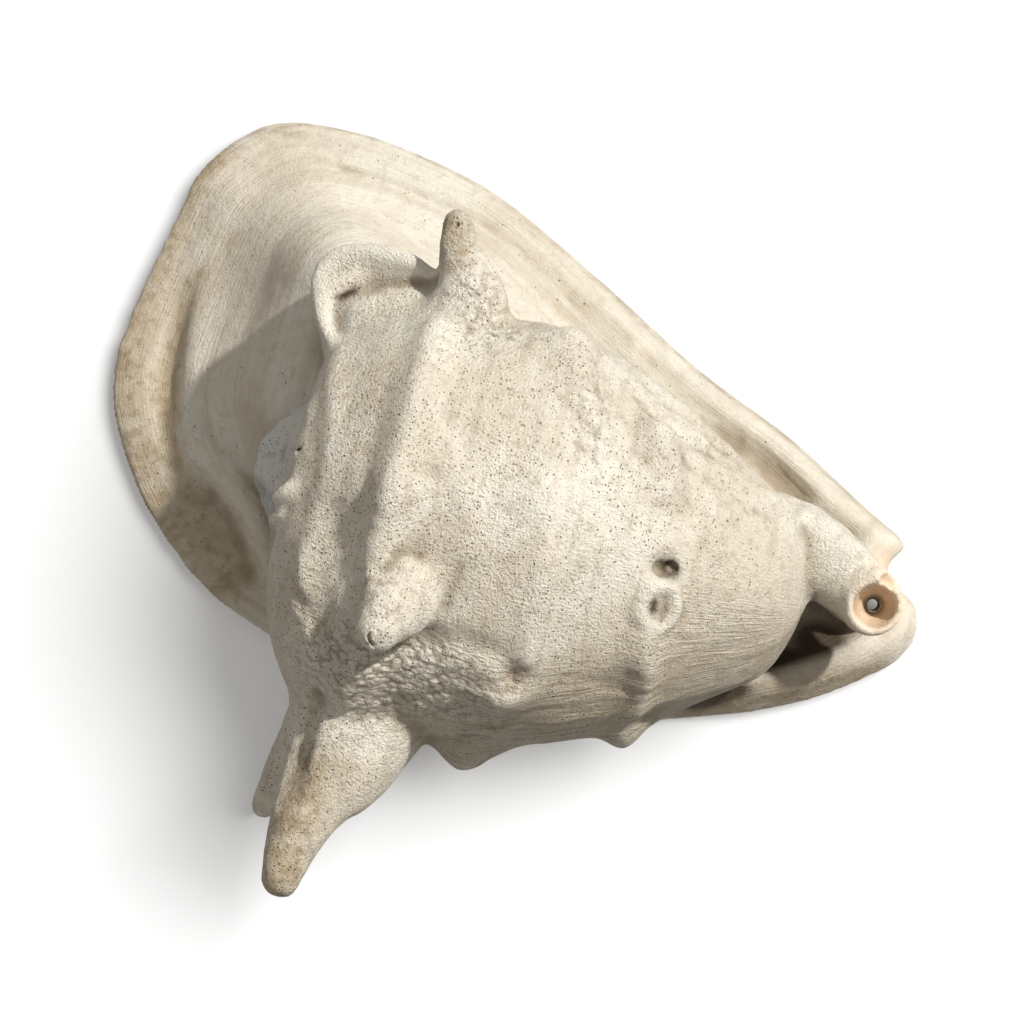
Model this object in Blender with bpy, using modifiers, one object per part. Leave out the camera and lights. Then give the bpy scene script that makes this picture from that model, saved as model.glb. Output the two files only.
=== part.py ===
"""A large helmet conch shell, bleached and pitted, lying on its mouth side.

Metres, +Z up. The coiling axis runs along X, from the spire at -X to the siphonal canal at +X.
The broad columellar shield lies at +Y, the thickened outer lip at -Y, and the back faces +Z.
The shell rests on the worn flats of its mouth side, at Z = 0.

The shell is one grown piece. Its forms are drawn as overlapping closed shapes, in millimetres,
from the spire's tip: the last whorl with its spire, the flat plate of shield and lip, the horns,
the knobs, the siphonal canal and the teeth. They are fused, the coiled chamber is cut out through
the slit of the mouth, and the result is smoothed as one skin.
"""

import bmesh
import bpy
import numpy as np

MM = 0.001

# Driving sizes, in millimetres
AXIS_HEIGHT_SPIRE = 65.0
AXIS_HEIGHT_CANAL = 44.0
SHELL_BODY_LENGTH = 174.0
GROWTH = 0.05
WALL = 5.5
VENTRAL_FLOOR = 7.0
FLAT_LEVEL = 1.2

# Resolution of the fused skin
VOXEL = 2.1
SMOOTH_PASSES = 5
TARGET_TRIANGLES = 9600

# The last whorl's profile, spire tip to canal root, as (distance along the axis, radius): over the
# back, where it runs out to a frill above the shield, and on the lip side
BACK_PROFILE = [
    (-8, 0), (-6, 9), (-1, 16), (1, 20), (6, 27), (9, 33), (7, 41), (14, 50), (27, 60), (41, 67.5),
    (55, 66), (78, 68), (105, 61), (127, 51), (146, 40), (160, 30), (169, 18), (174, 0),
]
FRILL_PROFILE = [
    (-8, 0), (-7, 9), (-2, 16), (2, 22), (6, 32), (3, 44), (-3, 56), (-2, 65), (9, 72), (38, 68),
    (55, 66), (78, 68), (105, 61), (127, 51), (146, 40), (160, 30), (169, 18), (174, 0),
]
LIP_PROFILE = [
    (-8, 0), (-6, 9), (-2, 14), (1, 21), (2.5, 28), (4, 36), (7, 46), (11.5, 56), (21, 68), (40, 75),
    (57, 71), (78, 69), (105, 61), (127, 51), (146, 40), (160, 30), (169, 18), (174, 0),
]
FRILL_ANGLE = 84.0
FRILL_HALF_WIDTH = 22.0
LIP_ANGLE = -105.0
LIP_HALF_WIDTH = 62.0
# The rolled edge of the frill, and the fillet between it and the whorl
FRILL_EDGE = [
    (38, 60, 94), (31, 65, 91), (21, 68.5, 88), (10, 69, 84), (1, 66, 81.5), (-2, 59, 80.5), (0, 50, 82),
    (4, 42.5, 84.5), (8, 37, 87), (13, 31, 88),
]
FRILL_EDGE_RADII = [3.0, 3.6, 3.9, 3.9, 3.9, 3.6, 3.2, 2.8, 2.5, 2.3]
FRILL_FILLET = [(38, 52, 91), (26, 59, 88), (14, 63, 82), (5, 60, 79), (3, 52, 80), (9, 42, 83)]
FRILL_FILLET_RADII = [5.5, 5.5, 5.5, 5, 4.5, 4]

# Knobs on the whorl: (along the axis, angle from the back towards the shield, height, length, width)
KNOBS = [
    (43, 5, 3, 12, 16),
    (44, -14, 4, 14, 12),
    (83, 50, 6, 10, 11),
    (88, -8, 2.5, 10, 11),
    (89, -59, 8, 11, 12),
    (78, -105, 10, 10, 10),
    (119, 27, 5.5, 9, 8),
    (127, -20, 2, 8, 9),
    (128, -48, 5.5, 7, 9),
    (128, -103, 8, 6, 8),
]
# Low cords that run round the whorl: (along the axis, height, width)
CORDS = [(41, 2.0, 6.0), (62, 0.7, 5.0), (86, 1.2, 6.0), (104, 0.6, 4.0), (125, 1.2, 5.0)]

# Folds and hollows of the grown skin: path, height (negative for a hollow), width
FOLDS_AND_HOLLOWS = [
    # Keel between the upper horns, with the step beside it and the ramp to the spire
    ([(41, 42, 114), (43, 22, 127), (45, 7, 134), (45, -4, 134), (43, -16, 135), (42, -36, 125)], 2, 5),
    ([(31, 3, 127), (32, -10, 128), (33, -22, 126), (35, -36, 122), (38, -50, 117), (41, -60, 109)],
     -1.5, 4),
    ([(12, 31, 99), (16, 10, 115), (20, -7, 119), (20, -22, 117), (17, -45, 108), (12, -50, 100)], 1.8, 4),
    ([(25, -28, 119), (27, -43, 115), (28, -57, 107)], -3, 8),
    # Groove between the whorl and the frill's rolled edge
    ([(34, 62, 97), (27, 61, 94), (18, 60.5, 91), (11, 58.5, 89), (7, 54, 88), (6, 48, 88), (9, 41, 88)],
     -3.2, 2.8),
    # Hollow under the middle horn, and the knob rows with the hollows beside them
    ([(47, -62, 104), (60, -57, 106), (72, -53, 107), (84, -54, 105), (90, -57, 102)], -2, 4),
    ([(92, -25, 119), (93, -36, 113), (93, -47, 106), (93, -54, 102)], 3, 5),
    ([(91, -60, 100), (87, -64, 99)], -5, 5),
    ([(127, -34, 95), (129, -41, 90), (129, -47, 75), (128, -52, 63)], 3.5, 4),
    ([(122, -48, 83), (119, -51, 81)], -2.5, 5),
    ([(87, 41, 109), (91, 30, 114)], 3, 7),
    ([(115, 25, 107), (120, 18, 105), (122, 10, 106)], 3.5, 6),
    ([(128, 19, 99), (128, 6, 102)], -2.5, 6),
    ([(131, 20, 96), (137, 9, 94), (142, -2, 92)], 1.5, 4),
    # Creases between whorl and shield
    ([(109, 49, 85), (123, 43, 80), (136, 36, 75)], -3, 5),
    ([(105, 79, 14), (120, 70, 14), (136, 61, 13), (150, 54, 13), (164, 43, 13)], -3.5, 5),
    ([(107, 39, 98), (117, 33, 98), (125, 30, 95), (136, 30, 83)], -2.5, 3),
    ([(126, 24, 100), (133, 20, 94), (141, 18, 87), (150, 17, 80), (156, 17, 75)], -2, 3),
    # Crest of the canal, and the undercut of the whorl above the lip
    ([(154, 23, 72), (167, 25, 54), (179, 19, 54), (187, 16, 53), (193, 11, 54)], 2.5, 5),
    ([(134, -49, 50), (144, -43, 45), (156, -35, 40)], -2.5, 7),
    ([(128, -50, 34), (138, -47, 28), (150, -40, 24), (160, -32, 21)], -3.5, 5),
    # Valley and ridge along the lower horn
    ([(30, -75, 79), (29, -88, 70), (30, -102, 68)], -2.5, 5),
    ([(35, -80, 77), (34, -95, 72), (32, -114, 68), (30, -127, 66)], 1.5, 5),
    # Crests, valleys and the pit of the shield
    ([(-48, 101, 17), (-52, 82, 16), (-50, 63, 17), (-47, 47, 18), (-43, 28, 18), (-41, 15, 16)], 4, 7),
    ([(-60, 93, 14), (-60, 76, 15), (-57, 59, 15), (-53, 41, 15), (-48, 24, 14)], -3, 6),
    ([(-34, 10, 18), (-22, 2, 19), (-13, -6, 19), (-4, -20, 19)], 3.5, 5),
    ([(-29, -4, 16), (-20, -13, 17), (-10, -24, 16)], -5, 7),
    ([(-38, 5, 15), (-30, -6, 15), (-24, -13, 15), (-18, -20, 15)], 2, 3),
    ([(-32, 69, 22), (-25, 81, 23), (-16, 89, 24), (-4, 96, 25), (12, 99, 24)], 1.2, 4),
    ([(-17, 80, 25), (0, 88, 25), (21, 93, 26)], -1.5, 4),
    ([(-14, 122, 17), (14, 120, 16), (45, 111, 15), (69, 97, 14), (85, 89, 14), (95, 83, 14)], -1.5, 3),
]
# The coiled tube of a worm that grew on the back, and the open scar above it
WORM_TUBE = [
    (125, -21, 102), (122.5, -27, 100.5), (125, -32, 97), (130, -31, 93), (133, -25, 94),
    (130.5, -20, 98.5), (125, -21, 102),
]
WORM_TUBE_RADIUS = 2.4
WORM_SCAR = ([(125.5, -15.5, 105), (129, -14.5, 104)], -4.5, 3.4)

# The horns: paths from root to tip as (x, y, z), with the radius at each point
HORNS = {
    "upper": ([(48, 46, 90), (46.5, 60, 96), (41, 71, 101), (38.5, 79, 104)], [18, 12.5, 7, 5.5]),
    "middle": ([(50, -34, 100), (51, -44, 111), (49, -52, 118), (48, -59, 123)], [20, 15, 10.5, 7.2]),
    "lower": ([(44, -58, 58), (40, -86, 57), (35, -102, 58), (32.5, -117, 59), (32, -129, 60)],
              [27, 19, 12.8, 9, 6.4]),
    "hidden": ([(36, -50, 32), (27, -72, 21), (19, -90, 13), (15, -99, 9)], [19, 12, 7.5, 4.8]),
}

# The plate's rim, round from the lip's front tip: (x, y, height of the rim's middle)
RIM = [
    (209, 19.5, 9), (212.5, 15, 9), (213.5, 7, 7), (209, -2, 6), (199, -11, 6), (185, -21, 6),
    (167, -30, 6), (148, -37, 6), (126, -44, 6), (100, -53, 6), (72, -60, 7), (40, -60, 8),
    (4, -45, 8.5), (-24, -33, 8.5),
    (-50, -11, 8.5), (-66, 11, 8.5), (-74, 31, 8.5), (-75, 52, 8.5), (-70, 87, 8), (-63, 116, 8),
    (-44, 136, 7), (-16, 140, 6), (10, 137, 5), (40, 129, 5), (80, 108, 5), (121, 84, 5),
    (160, 65, 6), (189, 47, 7), (204, 38, 9), (202, 32, 11), (201, 27, 12), (204, 22, 11),
]
PLATE_CENTRE = (62.0, 18.0)
RIM_THICKNESS = 4.5
# Heights of the plate's upper face at these distances in from the rim, a row for every 20 degrees
INWARD = [0, 6, 14, 22, 32, 46, 66, 100]
PLATE_HEIGHTS = [
    (9, 15, 18, 13, 13, 16, 30, 40), (8, 13, 15, 11, 18, 28, 40, 44), (7, 12, 15, 11, 17, 28, 42, 46),
    (7, 12, 15, 12, 17, 27, 42, 50), (7, 11, 14, 14, 18, 27, 40, 55), (7, 11, 14, 16, 19, 27, 44, 60),
    (8, 12, 14, 16, 20, 26, 45, 66), (8, 11, 13.5, 16, 24, 36, 58, 82), (8, 10.5, 13, 13.5, 22, 34, 54, 66),
    (8, 10.5, 13, 12.5, 19, 31, 52, 62), (8, 11, 13, 15, 20, 17, 36, 58), (9, 12, 14, 19, 13, 20, 44, 56),
    (10, 15, 16, 24, 34, 44, 50, 56), (9, 16, 22, 28, 36, 44, 50, 50), (8, 15, 22, 28, 36, 44, 46, 46),
    (7, 16, 22, 24, 30, 38, 44, 44), (6, 17, 21, 14, 9, 20, 40, 42), (6, 17, 21, 13, 10, 13, 26, 40),
]

# The mouth's slit on the ventral face: (x, y), with its half width and its two ends
SLIT = [(6, -20), (45, -24), (90, -20.5), (130, -9), (165, 6), (194, 17)]
SLIT_HALF_WIDTH = 8.5
SLIT_ENDS = (6.0, 167.0)
CHAMBER_ENDS = (24.0, 160.0)
CHAMBER_HALF_DEPTH = 20.0
CHAMBER_ANGLES = [-128, -100, -65, -25, 15, 55, 95, 130, 160]

# Teeth of the outer lip and folds of the inner lip, which narrow the slit
TEETH = [34, 49, 64, 79, 94, 109, 124, 139]
TOOTH_SIZE = (4.2, 4.6, 6.5)
FOLDS = [30, 41, 52, 63, 74, 85, 96, 107, 118, 129, 140, 151]
FOLD_SIZE = (2.6, 4.0, 6.0)

# The siphonal canal: outer tube and bore
CANAL_PATH = [(140, 14, 34), (158, 20, 40), (174, 17, 43), (186, 10, 44), (193, 4, 48), (195.5, 1.5, 54)]
CANAL_RADII = [18, 15, 12.5, 11, 9.8, 9.0]
# The wall that carries the canal on the shield
CANAL_WALL_PATH = [(140, 15, 20), (158, 23, 22), (174, 21, 22), (187, 16, 22), (196, 14, 24)]
CANAL_WALL_RADII = [15, 13, 11.5, 10, 8.5]
BORE_PATH = [(196, -2, 66), (195.5, 3, 50), (195, 6.5, 39), (195.5, 11.5, 20), (196.5, 19.5, -8)]
BORE_RADII = [7.6, 6.2, 3.3, 3.0, 3.8]
# The shallow channel that joins the slit to the bore on the mouth side
CHANNEL_PATH = [(150, 1, 1), (168, 8, 2), (181, 13, 2), (195, 16, 2)]
CHANNEL_RADII = [7.0, 5.0, 4.4, 4.2]


def smooth_path(points, count):
    """Points along a Catmull-Rom curve through the given points, evenly shared among its spans."""
    points = np.asarray(points, float)
    ends = np.concatenate([2 * points[:1] - points[1:2], points, 2 * points[-1:] - points[-2:-1]])
    place = np.linspace(0, len(points) - 1, count)
    return span_values(ends, place)


def smooth_loop(points, count):
    """Points along a closed Catmull-Rom curve through the given points."""
    points = np.asarray(points, float)
    ends = np.concatenate([points[-1:], points, points[:2]])
    place = np.linspace(0, len(points), count, endpoint=False)
    return span_values(ends, place)


def span_values(ends, place):
    """Catmull-Rom values at each place, with one extra point at either end of the list."""
    span = np.minimum(place.astype(int), len(ends) - 4)
    t = (place - span).reshape((-1,) + (1,) * (ends.ndim - 1))
    p0, p1, p2, p3 = (ends[span + k] for k in range(4))
    return 0.5 * (
        2 * p1 + (p2 - p0) * t + (2 * p0 - 5 * p1 + 4 * p2 - p3) * t**2 + (3 * (p1 - p2) + p3 - p0) * t**3
    )


def bump(distance, width):
    """A soft hump, 1 at no distance and nearly 0 at twice the width."""
    return np.exp(-((distance / width) ** 2))


def plateau(distance, width):
    """A flat-topped hump, 1 near the middle and nearly 0 at one and a half times the width."""
    return np.exp(-((distance / width) ** 4))


def angle_gap(a, b):
    """The shortest way from angle b to angle a, in degrees."""
    return (a - b + 180) % 360 - 180


def axis_height(x):
    """Height of the coiling axis above the floor."""
    share = np.clip(np.asarray(x, float) / SHELL_BODY_LENGTH, 0, 1)
    return AXIS_HEIGHT_SPIRE + (AXIS_HEIGHT_CANAL - AXIS_HEIGHT_SPIRE) * share**1.5


def whorl_growth(angle):
    """The whorl is wider on its lip side, because it grows as it turns."""
    return 1 - GROWTH * np.sin(np.radians(angle))


def relief(x, angle, radius):
    """Knobs and low cords that stand on the whorl, in millimetres."""
    height = np.zeros(np.broadcast(x, angle).shape)
    for along, turn, tall, length, width in KNOBS:
        sideways = np.radians(angle_gap(angle, turn)) * np.maximum(radius, 20)
        height += tall * bump(np.hypot((x - along) / length, sideways / width), 0.8)
    for along, tall, width in CORDS:
        height += tall * bump(x - along, width) * bump(angle_gap(angle, -10), 95)
    return height


def whorl_points(rows, columns):
    """The last whorl and spire as a grid: rows along the profile, columns round the axis."""
    back = smooth_path(BACK_PROFILE, rows)[:, None, :]
    frill = smooth_path(FRILL_PROFILE, rows)[:, None, :]
    lip = smooth_path(LIP_PROFILE, rows)[:, None, :]
    angle = np.linspace(-180, 180, columns, endpoint=False)[None, :]
    to_frill = plateau(angle_gap(angle, FRILL_ANGLE), FRILL_HALF_WIDTH)[..., None]
    to_lip = plateau(angle_gap(angle, LIP_ANGLE), LIP_HALF_WIDTH)[..., None]
    profile = back + (frill - back) * to_frill + (lip - back) * to_lip
    x, radius = profile[..., 0], np.maximum(profile[..., 1], 0)
    fade = np.clip(radius / 20, 0, 1)
    radius = radius * (1 + (whorl_growth(angle) - 1) * fade) + relief(x, angle, radius) * fade
    turn = np.radians(angle)
    z = axis_height(x) + radius * np.cos(turn)
    z = VENTRAL_FLOOR + np.logaddexp(0, (z - VENTRAL_FLOOR) / 2.0) * 2.0
    return np.stack([x, radius * np.sin(turn), z], axis=-1)


def plate_points(rings, columns):
    """Shield and lip as one grid: rings from the middle of the upper face, over the rim, to below."""
    rim = smooth_loop(RIM, columns)
    centre = np.array(PLATE_CENTRE)
    spoke = rim[:, :2] - centre
    reach = np.linalg.norm(spoke, axis=1)
    turn = np.degrees(np.arctan2(spoke[:, 1], spoke[:, 0])) % 360
    sections = smooth_loop(PLATE_HEIGHTS, 360)
    heights = sections[np.round(turn).astype(int) % 360]
    share = np.linspace(0, 1, rings) ** 0.7
    upper = []
    lower = []
    for s in share:
        place = centre + spoke * s
        inward = (1 - s) * reach
        top = np.array([np.interp(d, INWARD, row) for d, row in zip(inward, heights)])
        lift = rim[:, 2] - RIM_THICKNESS / 2
        bottom = 0.6 + np.maximum(lift, 0) * np.exp(-((inward / 15) ** 2))
        roll = np.sqrt(np.clip(inward / RIM_THICKNESS, 0, 1))
        middle = rim[:, 2] * np.exp(-inward / 9)
        top = middle * (1 - roll) + top * roll
        bottom = middle * (1 - roll) + bottom * roll
        upper.append(np.column_stack([place, top]))
        lower.append(np.column_stack([place, bottom]))
    return np.array(upper + lower[-2::-1])


def chamber_points(rows, columns):
    """The coiled chamber with the slit of the mouth, as a grid: rows along the coil, columns round it."""
    around = np.linspace(0, 2 * np.pi, columns, endpoint=False)
    stations = np.linspace(0, 1, rows)
    slit = smooth_path(SLIT, 200)
    profile = smooth_path(BACK_PROFILE, 400)
    profile = profile[np.argmax(profile[:, 1] > 40):]
    keys = len(CHAMBER_ANGLES) + 2
    low = np.interp(stations, [0, 0.1, 0.3, 1], [*SLIT_ENDS[:1] * 2, CHAMBER_ENDS[0], CHAMBER_ENDS[0] + 8])
    high = np.interp(stations, [0, 0.1, 0.3, 1], [*SLIT_ENDS[1:] * 2, CHAMBER_ENDS[1], CHAMBER_ENDS[1] - 20])
    depth = np.interp(
        stations, [0, 0.08, 0.22, 0.4, 0.8, 0.97, 1],
        [SLIT_HALF_WIDTH + 4, SLIT_HALF_WIDTH, 11, CHAMBER_HALF_DEPTH, 17, 6, 1],
    )
    x = (low + high)[:, None] / 2 + (high - low)[:, None] / 2 * np.cos(around)[None, :]
    slit_y = np.interp(x, slit[:, 0], slit[:, 1])
    outer = np.interp(x, profile[:, 0], profile[:, 1])
    scale = np.clip(outer / 66, 0.25, 1)
    height = axis_height(x)
    route = [np.stack([slit_y, np.full_like(x, -10.0)], -1), np.stack([slit_y, np.full_like(x, 7.0)], -1)]
    for turn in CHAMBER_ANGLES:
        reach = outer * whorl_growth(turn) - WALL - CHAMBER_HALF_DEPTH * scale
        route.append(np.stack([
            reach * np.sin(np.radians(turn)),
            np.maximum(height + reach * np.cos(np.radians(turn)), 14 + 8 * scale),
        ], -1))
    route = np.stack(route)
    padded = np.concatenate([2 * route[:1] - route[1:2], route, 2 * route[-1:] - route[-2:-1]])
    place = stations * (keys - 1)
    middle = grid_values(padded, place)
    ahead = grid_values(padded, np.minimum(place + 0.05, keys - 1))
    behind = grid_values(padded, np.maximum(place - 0.05, 0))
    along = ahead - behind
    along /= np.maximum(np.linalg.norm(along, axis=-1, keepdims=True), 1e-9)
    side = np.stack([along[..., 1], -along[..., 0]], -1)
    tight = np.where(stations[:, None] > 0.15, scale, 1)
    offset = (depth[:, None] * tight * np.sin(around)[None, :])[..., None] * side
    return np.concatenate([x[..., None], middle + offset], axis=-1)


def grid_values(padded, place):
    """Catmull-Rom through a list of key rows, where row i of the answer uses its own place and column."""
    span = np.minimum(place.astype(int), len(padded) - 4)
    t = (place - span)[:, None, None]
    rows = np.arange(len(place))
    p0, p1, p2, p3 = (padded[span + k, rows] for k in range(4))
    return 0.5 * (
        2 * p1 + (p2 - p0) * t + (2 * p0 - 5 * p1 + 4 * p2 - p3) * t**2 + (3 * (p1 - p2) + p3 - p0) * t**3
    )


def distance_to_path(points, path):
    """Shortest distance from each point to a smooth path."""
    course = smooth_path(path, 6 * len(path))
    nearest = np.full(len(points), 1e9)
    for start, end in zip(course, course[1:]):
        along = end - start
        share = np.clip((points - start) @ along / (along @ along), 0, 1)
        gap = points - start - share[:, None] * along
        nearest = np.minimum(nearest, np.linalg.norm(gap, axis=1))
    return nearest


def fold_skin(shell, folds):
    """Raises or sinks the skin along each fold's path, by a soft hump across it."""
    data = shell.data
    points = np.empty(len(data.vertices) * 3)
    normals = np.empty(len(data.vertices) * 3)
    data.vertices.foreach_get("co", points)
    data.vertices.foreach_get("normal", normals)
    points = points.reshape(-1, 3) / MM
    lift = np.zeros(len(points))
    for path, height, width in folds:
        lift += height * bump(distance_to_path(points, path), width)
    points += normals.reshape(-1, 3) * lift[:, None]
    data.vertices.foreach_set("co", (points * MM).ravel())
    data.update()


def loft(name, grid, collection):
    """A closed mesh from a grid of rings: each ring joined to the next, the end rings capped."""
    rows, columns = grid.shape[:2]
    mesh = bmesh.new()
    rings = [[mesh.verts.new(point * MM) for point in ring] for ring in grid]
    for first, second in zip(rings, rings[1:]):
        for i in range(columns):
            j = (i + 1) % columns
            mesh.faces.new((first[i], first[j], second[j], second[i]))
    mesh.faces.new(rings[0][::-1])
    mesh.faces.new(rings[-1])
    bmesh.ops.remove_doubles(mesh, verts=mesh.verts, dist=0.00001)
    bmesh.ops.recalc_face_normals(mesh, faces=mesh.faces)
    data = bpy.data.meshes.new(name)
    mesh.to_mesh(data)
    mesh.free()
    made = bpy.data.objects.new(name, data)
    collection.objects.link(made)
    return made


def tube(name, path, radii, collection, round_tip=True):
    """A tapering tube along a smooth path, as a curve object turned into a closed mesh."""
    count = 6 * len(path)
    course = smooth_path(path, count) * MM
    widths = smooth_path(np.array(radii, float)[:, None], count)[:, 0]
    curve = bpy.data.curves.new(name, "CURVE")
    curve.dimensions = "3D"
    curve.bevel_depth = MM
    curve.bevel_resolution = 5
    curve.use_fill_caps = True
    spline = curve.splines.new("POLY")
    spline.points.add(count - 1)
    for point, place, width in zip(spline.points, course, widths):
        point.co = (*place, 1)
        point.radius = width
    guide = bpy.data.objects.new(name + "_curve", curve)
    collection.objects.link(guide)
    bpy.context.view_layer.update()
    data = bpy.data.meshes.new_from_object(guide.evaluated_get(bpy.context.evaluated_depsgraph_get()))
    bpy.data.objects.remove(guide)
    mesh = bmesh.new()
    mesh.from_mesh(data)
    bmesh.ops.remove_doubles(mesh, verts=mesh.verts, dist=0.00001)
    if round_tip:
        tip = bmesh.ops.create_uvsphere(mesh, u_segments=16, v_segments=12, radius=widths[-1] * MM)
        bmesh.ops.translate(mesh, verts=tip["verts"], vec=course[-1])
    bmesh.ops.recalc_face_normals(mesh, faces=mesh.faces)
    mesh.to_mesh(data)
    mesh.free()
    made = bpy.data.objects.new(name, data)
    collection.objects.link(made)
    return made


def lump(name, place, size, collection):
    """A rounded lump: a sphere stretched to the given half sizes."""
    mesh = bmesh.new()
    ball = bmesh.ops.create_uvsphere(mesh, u_segments=20, v_segments=14, radius=MM)
    bmesh.ops.scale(mesh, verts=ball["verts"], vec=size)
    bmesh.ops.translate(mesh, verts=ball["verts"], vec=np.array(place) * MM)
    data = bpy.data.meshes.new(name)
    mesh.to_mesh(data)
    mesh.free()
    made = bpy.data.objects.new(name, data)
    collection.objects.link(made)
    return made


def join_meshes(name, pieces, collection):
    """One object that holds the meshes of all the pieces, which are removed."""
    mesh = bmesh.new()
    for piece in pieces:
        mesh.from_mesh(piece.data)
        bpy.data.objects.remove(piece)
    data = bpy.data.meshes.new(name)
    mesh.to_mesh(data)
    mesh.free()
    made = bpy.data.objects.new(name, data)
    collection.objects.link(made)
    return made


def applied(thing):
    """Replaces an object's mesh with its evaluated one and drops its modifiers."""
    bpy.context.view_layer.update()
    graph = bpy.context.evaluated_depsgraph_get()
    thing.data = bpy.data.meshes.new_from_object(thing.evaluated_get(graph))
    thing.modifiers.clear()


def remesh(thing, size):
    """Fuses overlapping closed shapes into one even skin."""
    modifier = thing.modifiers.new("fuse", "REMESH")
    modifier.mode = "VOXEL"
    modifier.voxel_size = size * MM


def smooth(thing, passes):
    """Blends the joins between the forms."""
    modifier = thing.modifiers.new("blend", "SMOOTH")
    modifier.factor = 0.5
    modifier.iterations = passes


def new_collection(name):
    """A collection in the scene."""
    made = bpy.data.collections.new(name)
    bpy.context.scene.collection.children.link(made)
    return made


def shell_material():
    """Matt, warm white shell."""
    material = bpy.data.materials.new("bleached_shell")
    material.use_nodes = True
    shader = material.node_tree.nodes["Principled BSDF"]
    shader.inputs["Base Color"].default_value = (0.74, 0.66, 0.53, 1)
    shader.inputs["Roughness"].default_value = 0.62
    shader.inputs["Metallic"].default_value = 0
    return material


def mouth_teeth(collection):
    """Lumps along both edges of the slit, tall on the outer lip and narrow on the inner lip."""
    slit = smooth_path(SLIT, 200)
    lumps = []
    for sign, places, size in ((-1, TEETH, TOOTH_SIZE), (1, FOLDS, FOLD_SIZE)):
        for place in places:
            middle = np.interp(place, slit[:, 0], slit[:, 1]) + sign * (SLIT_HALF_WIDTH + 1.5)
            lumps.append(lump("tooth", (place, middle, 1.5 + size[2]), size, collection))
    return lumps


def flatten_base(shell, collection):
    """Wears the mouth side flat, so that the shell lies steadily."""
    block = wide_block("floor_cutter", FLAT_LEVEL, collection)
    cut = shell.modifiers.new("wear", "BOOLEAN")
    cut.operation = "DIFFERENCE"
    cut.object = block
    applied(shell)


def wide_block(name, top, collection):
    """A wide block whose upper face lies at the given height."""
    mesh = bmesh.new()
    cube = bmesh.ops.create_cube(mesh, size=1)
    bmesh.ops.scale(mesh, verts=cube["verts"], vec=(0.8, 0.8, 0.04))
    bmesh.ops.translate(mesh, verts=cube["verts"], vec=(0.06, 0, top * MM - 0.02))
    data = bpy.data.meshes.new(name)
    mesh.to_mesh(data)
    mesh.free()
    made = bpy.data.objects.new(name, data)
    made.hide_render = True
    made.display_type = "WIRE"
    collection.objects.link(made)
    return made


def thin_out(shell):
    """Keeps about the wanted number of triangles, with the worn base exactly flat."""
    shell.modifiers.new("facets", "TRIANGULATE")
    applied(shell)
    fewer = shell.modifiers.new("thin", "DECIMATE")
    fewer.ratio = TARGET_TRIANGLES / len(shell.data.polygons)
    fewer.use_collapse_triangulate = True
    applied(shell)
    points = np.empty(len(shell.data.vertices) * 3)
    shell.data.vertices.foreach_get("co", points)
    points = points.reshape(-1, 3)
    points[:, 2] = np.where(points[:, 2] < (FLAT_LEVEL + 0.05) * MM, FLAT_LEVEL * MM, points[:, 2])
    middle = (points.min(axis=0) + points.max(axis=0)) / 2
    middle[2] = points[:, 2].min()
    shell.data.vertices.foreach_set("co", (points - middle).ravel())
    shell.data.update()
    return middle


def build():
    """Fuses the forms, folds the skin, cuts the hollows and thins the result."""
    for thing in list(bpy.data.objects):
        bpy.data.objects.remove(thing)
    parts = new_collection("conch_shell_parts")
    cutters = new_collection("cutters")
    forms = [loft("whorl", whorl_points(110, 128), parts), loft("plate", plate_points(26, 180), parts)]
    for name, (path, radii) in HORNS.items():
        forms.append(tube("horn_" + name, path, radii, parts))
    forms.append(tube("canal", CANAL_PATH, CANAL_RADII, parts, round_tip=False))
    forms.append(tube("canal_wall", CANAL_WALL_PATH, CANAL_WALL_RADII, parts))
    forms.append(tube("frill_edge", FRILL_EDGE, FRILL_EDGE_RADII, parts))
    forms.append(tube("frill_fillet", FRILL_FILLET, FRILL_FILLET_RADII, parts))
    shell = join_meshes("conch_shell", forms, parts)
    remesh(shell, VOXEL)
    smooth(shell, SMOOTH_PASSES)
    applied(shell)
    fold_skin(shell, FOLDS_AND_HOLLOWS + [WORM_SCAR])
    remesh(shell, VOXEL)
    smooth(shell, 1)
    applied(shell)

    chamber = loft("chamber", chamber_points(70, 72), cutters)
    bore = tube("bore", BORE_PATH, BORE_RADII, cutters, round_tip=False)
    channel = tube("channel", CHANNEL_PATH, CHANNEL_RADII, cutters, round_tip=False)
    for cutter in (chamber, bore, channel):
        cutter.hide_render = True
        cutter.display_type = "WIRE"
        cut = shell.modifiers.new("cut_" + cutter.name, "BOOLEAN")
        cut.operation = "DIFFERENCE"
        cut.object = cutter
        if cutter == channel:
            # The exact solver loses the shell here, where the channel grazes the chamber and the bore
            cut.solver = "MANIFOLD"
    applied(shell)
    worm = tube("worm_tube", WORM_TUBE, [WORM_TUBE_RADIUS] * len(WORM_TUBE), parts)
    shell = join_meshes("conch_shell", [shell, worm] + mouth_teeth(parts), parts)
    remesh(shell, VOXEL)
    smooth(shell, 3)
    applied(shell)
    flatten_base(shell, cutters)
    middle = thin_out(shell)
    shell.data.materials.clear()
    shell.data.materials.append(shell_material())
    return shell, middle


shell, middle = build()
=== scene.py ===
"""A large helmet conch shell, bleached and pitted, lying on its mouth side on a pale floor.

All sizes are in millimetres from the spire's tip, and are turned into metres in the row frame at
the very end. The coiling axis runs along X, the shield lies at +Y, the back faces +Z.
"""
import logging
import math
from dataclasses import dataclass, field
from enum import Enum

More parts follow.
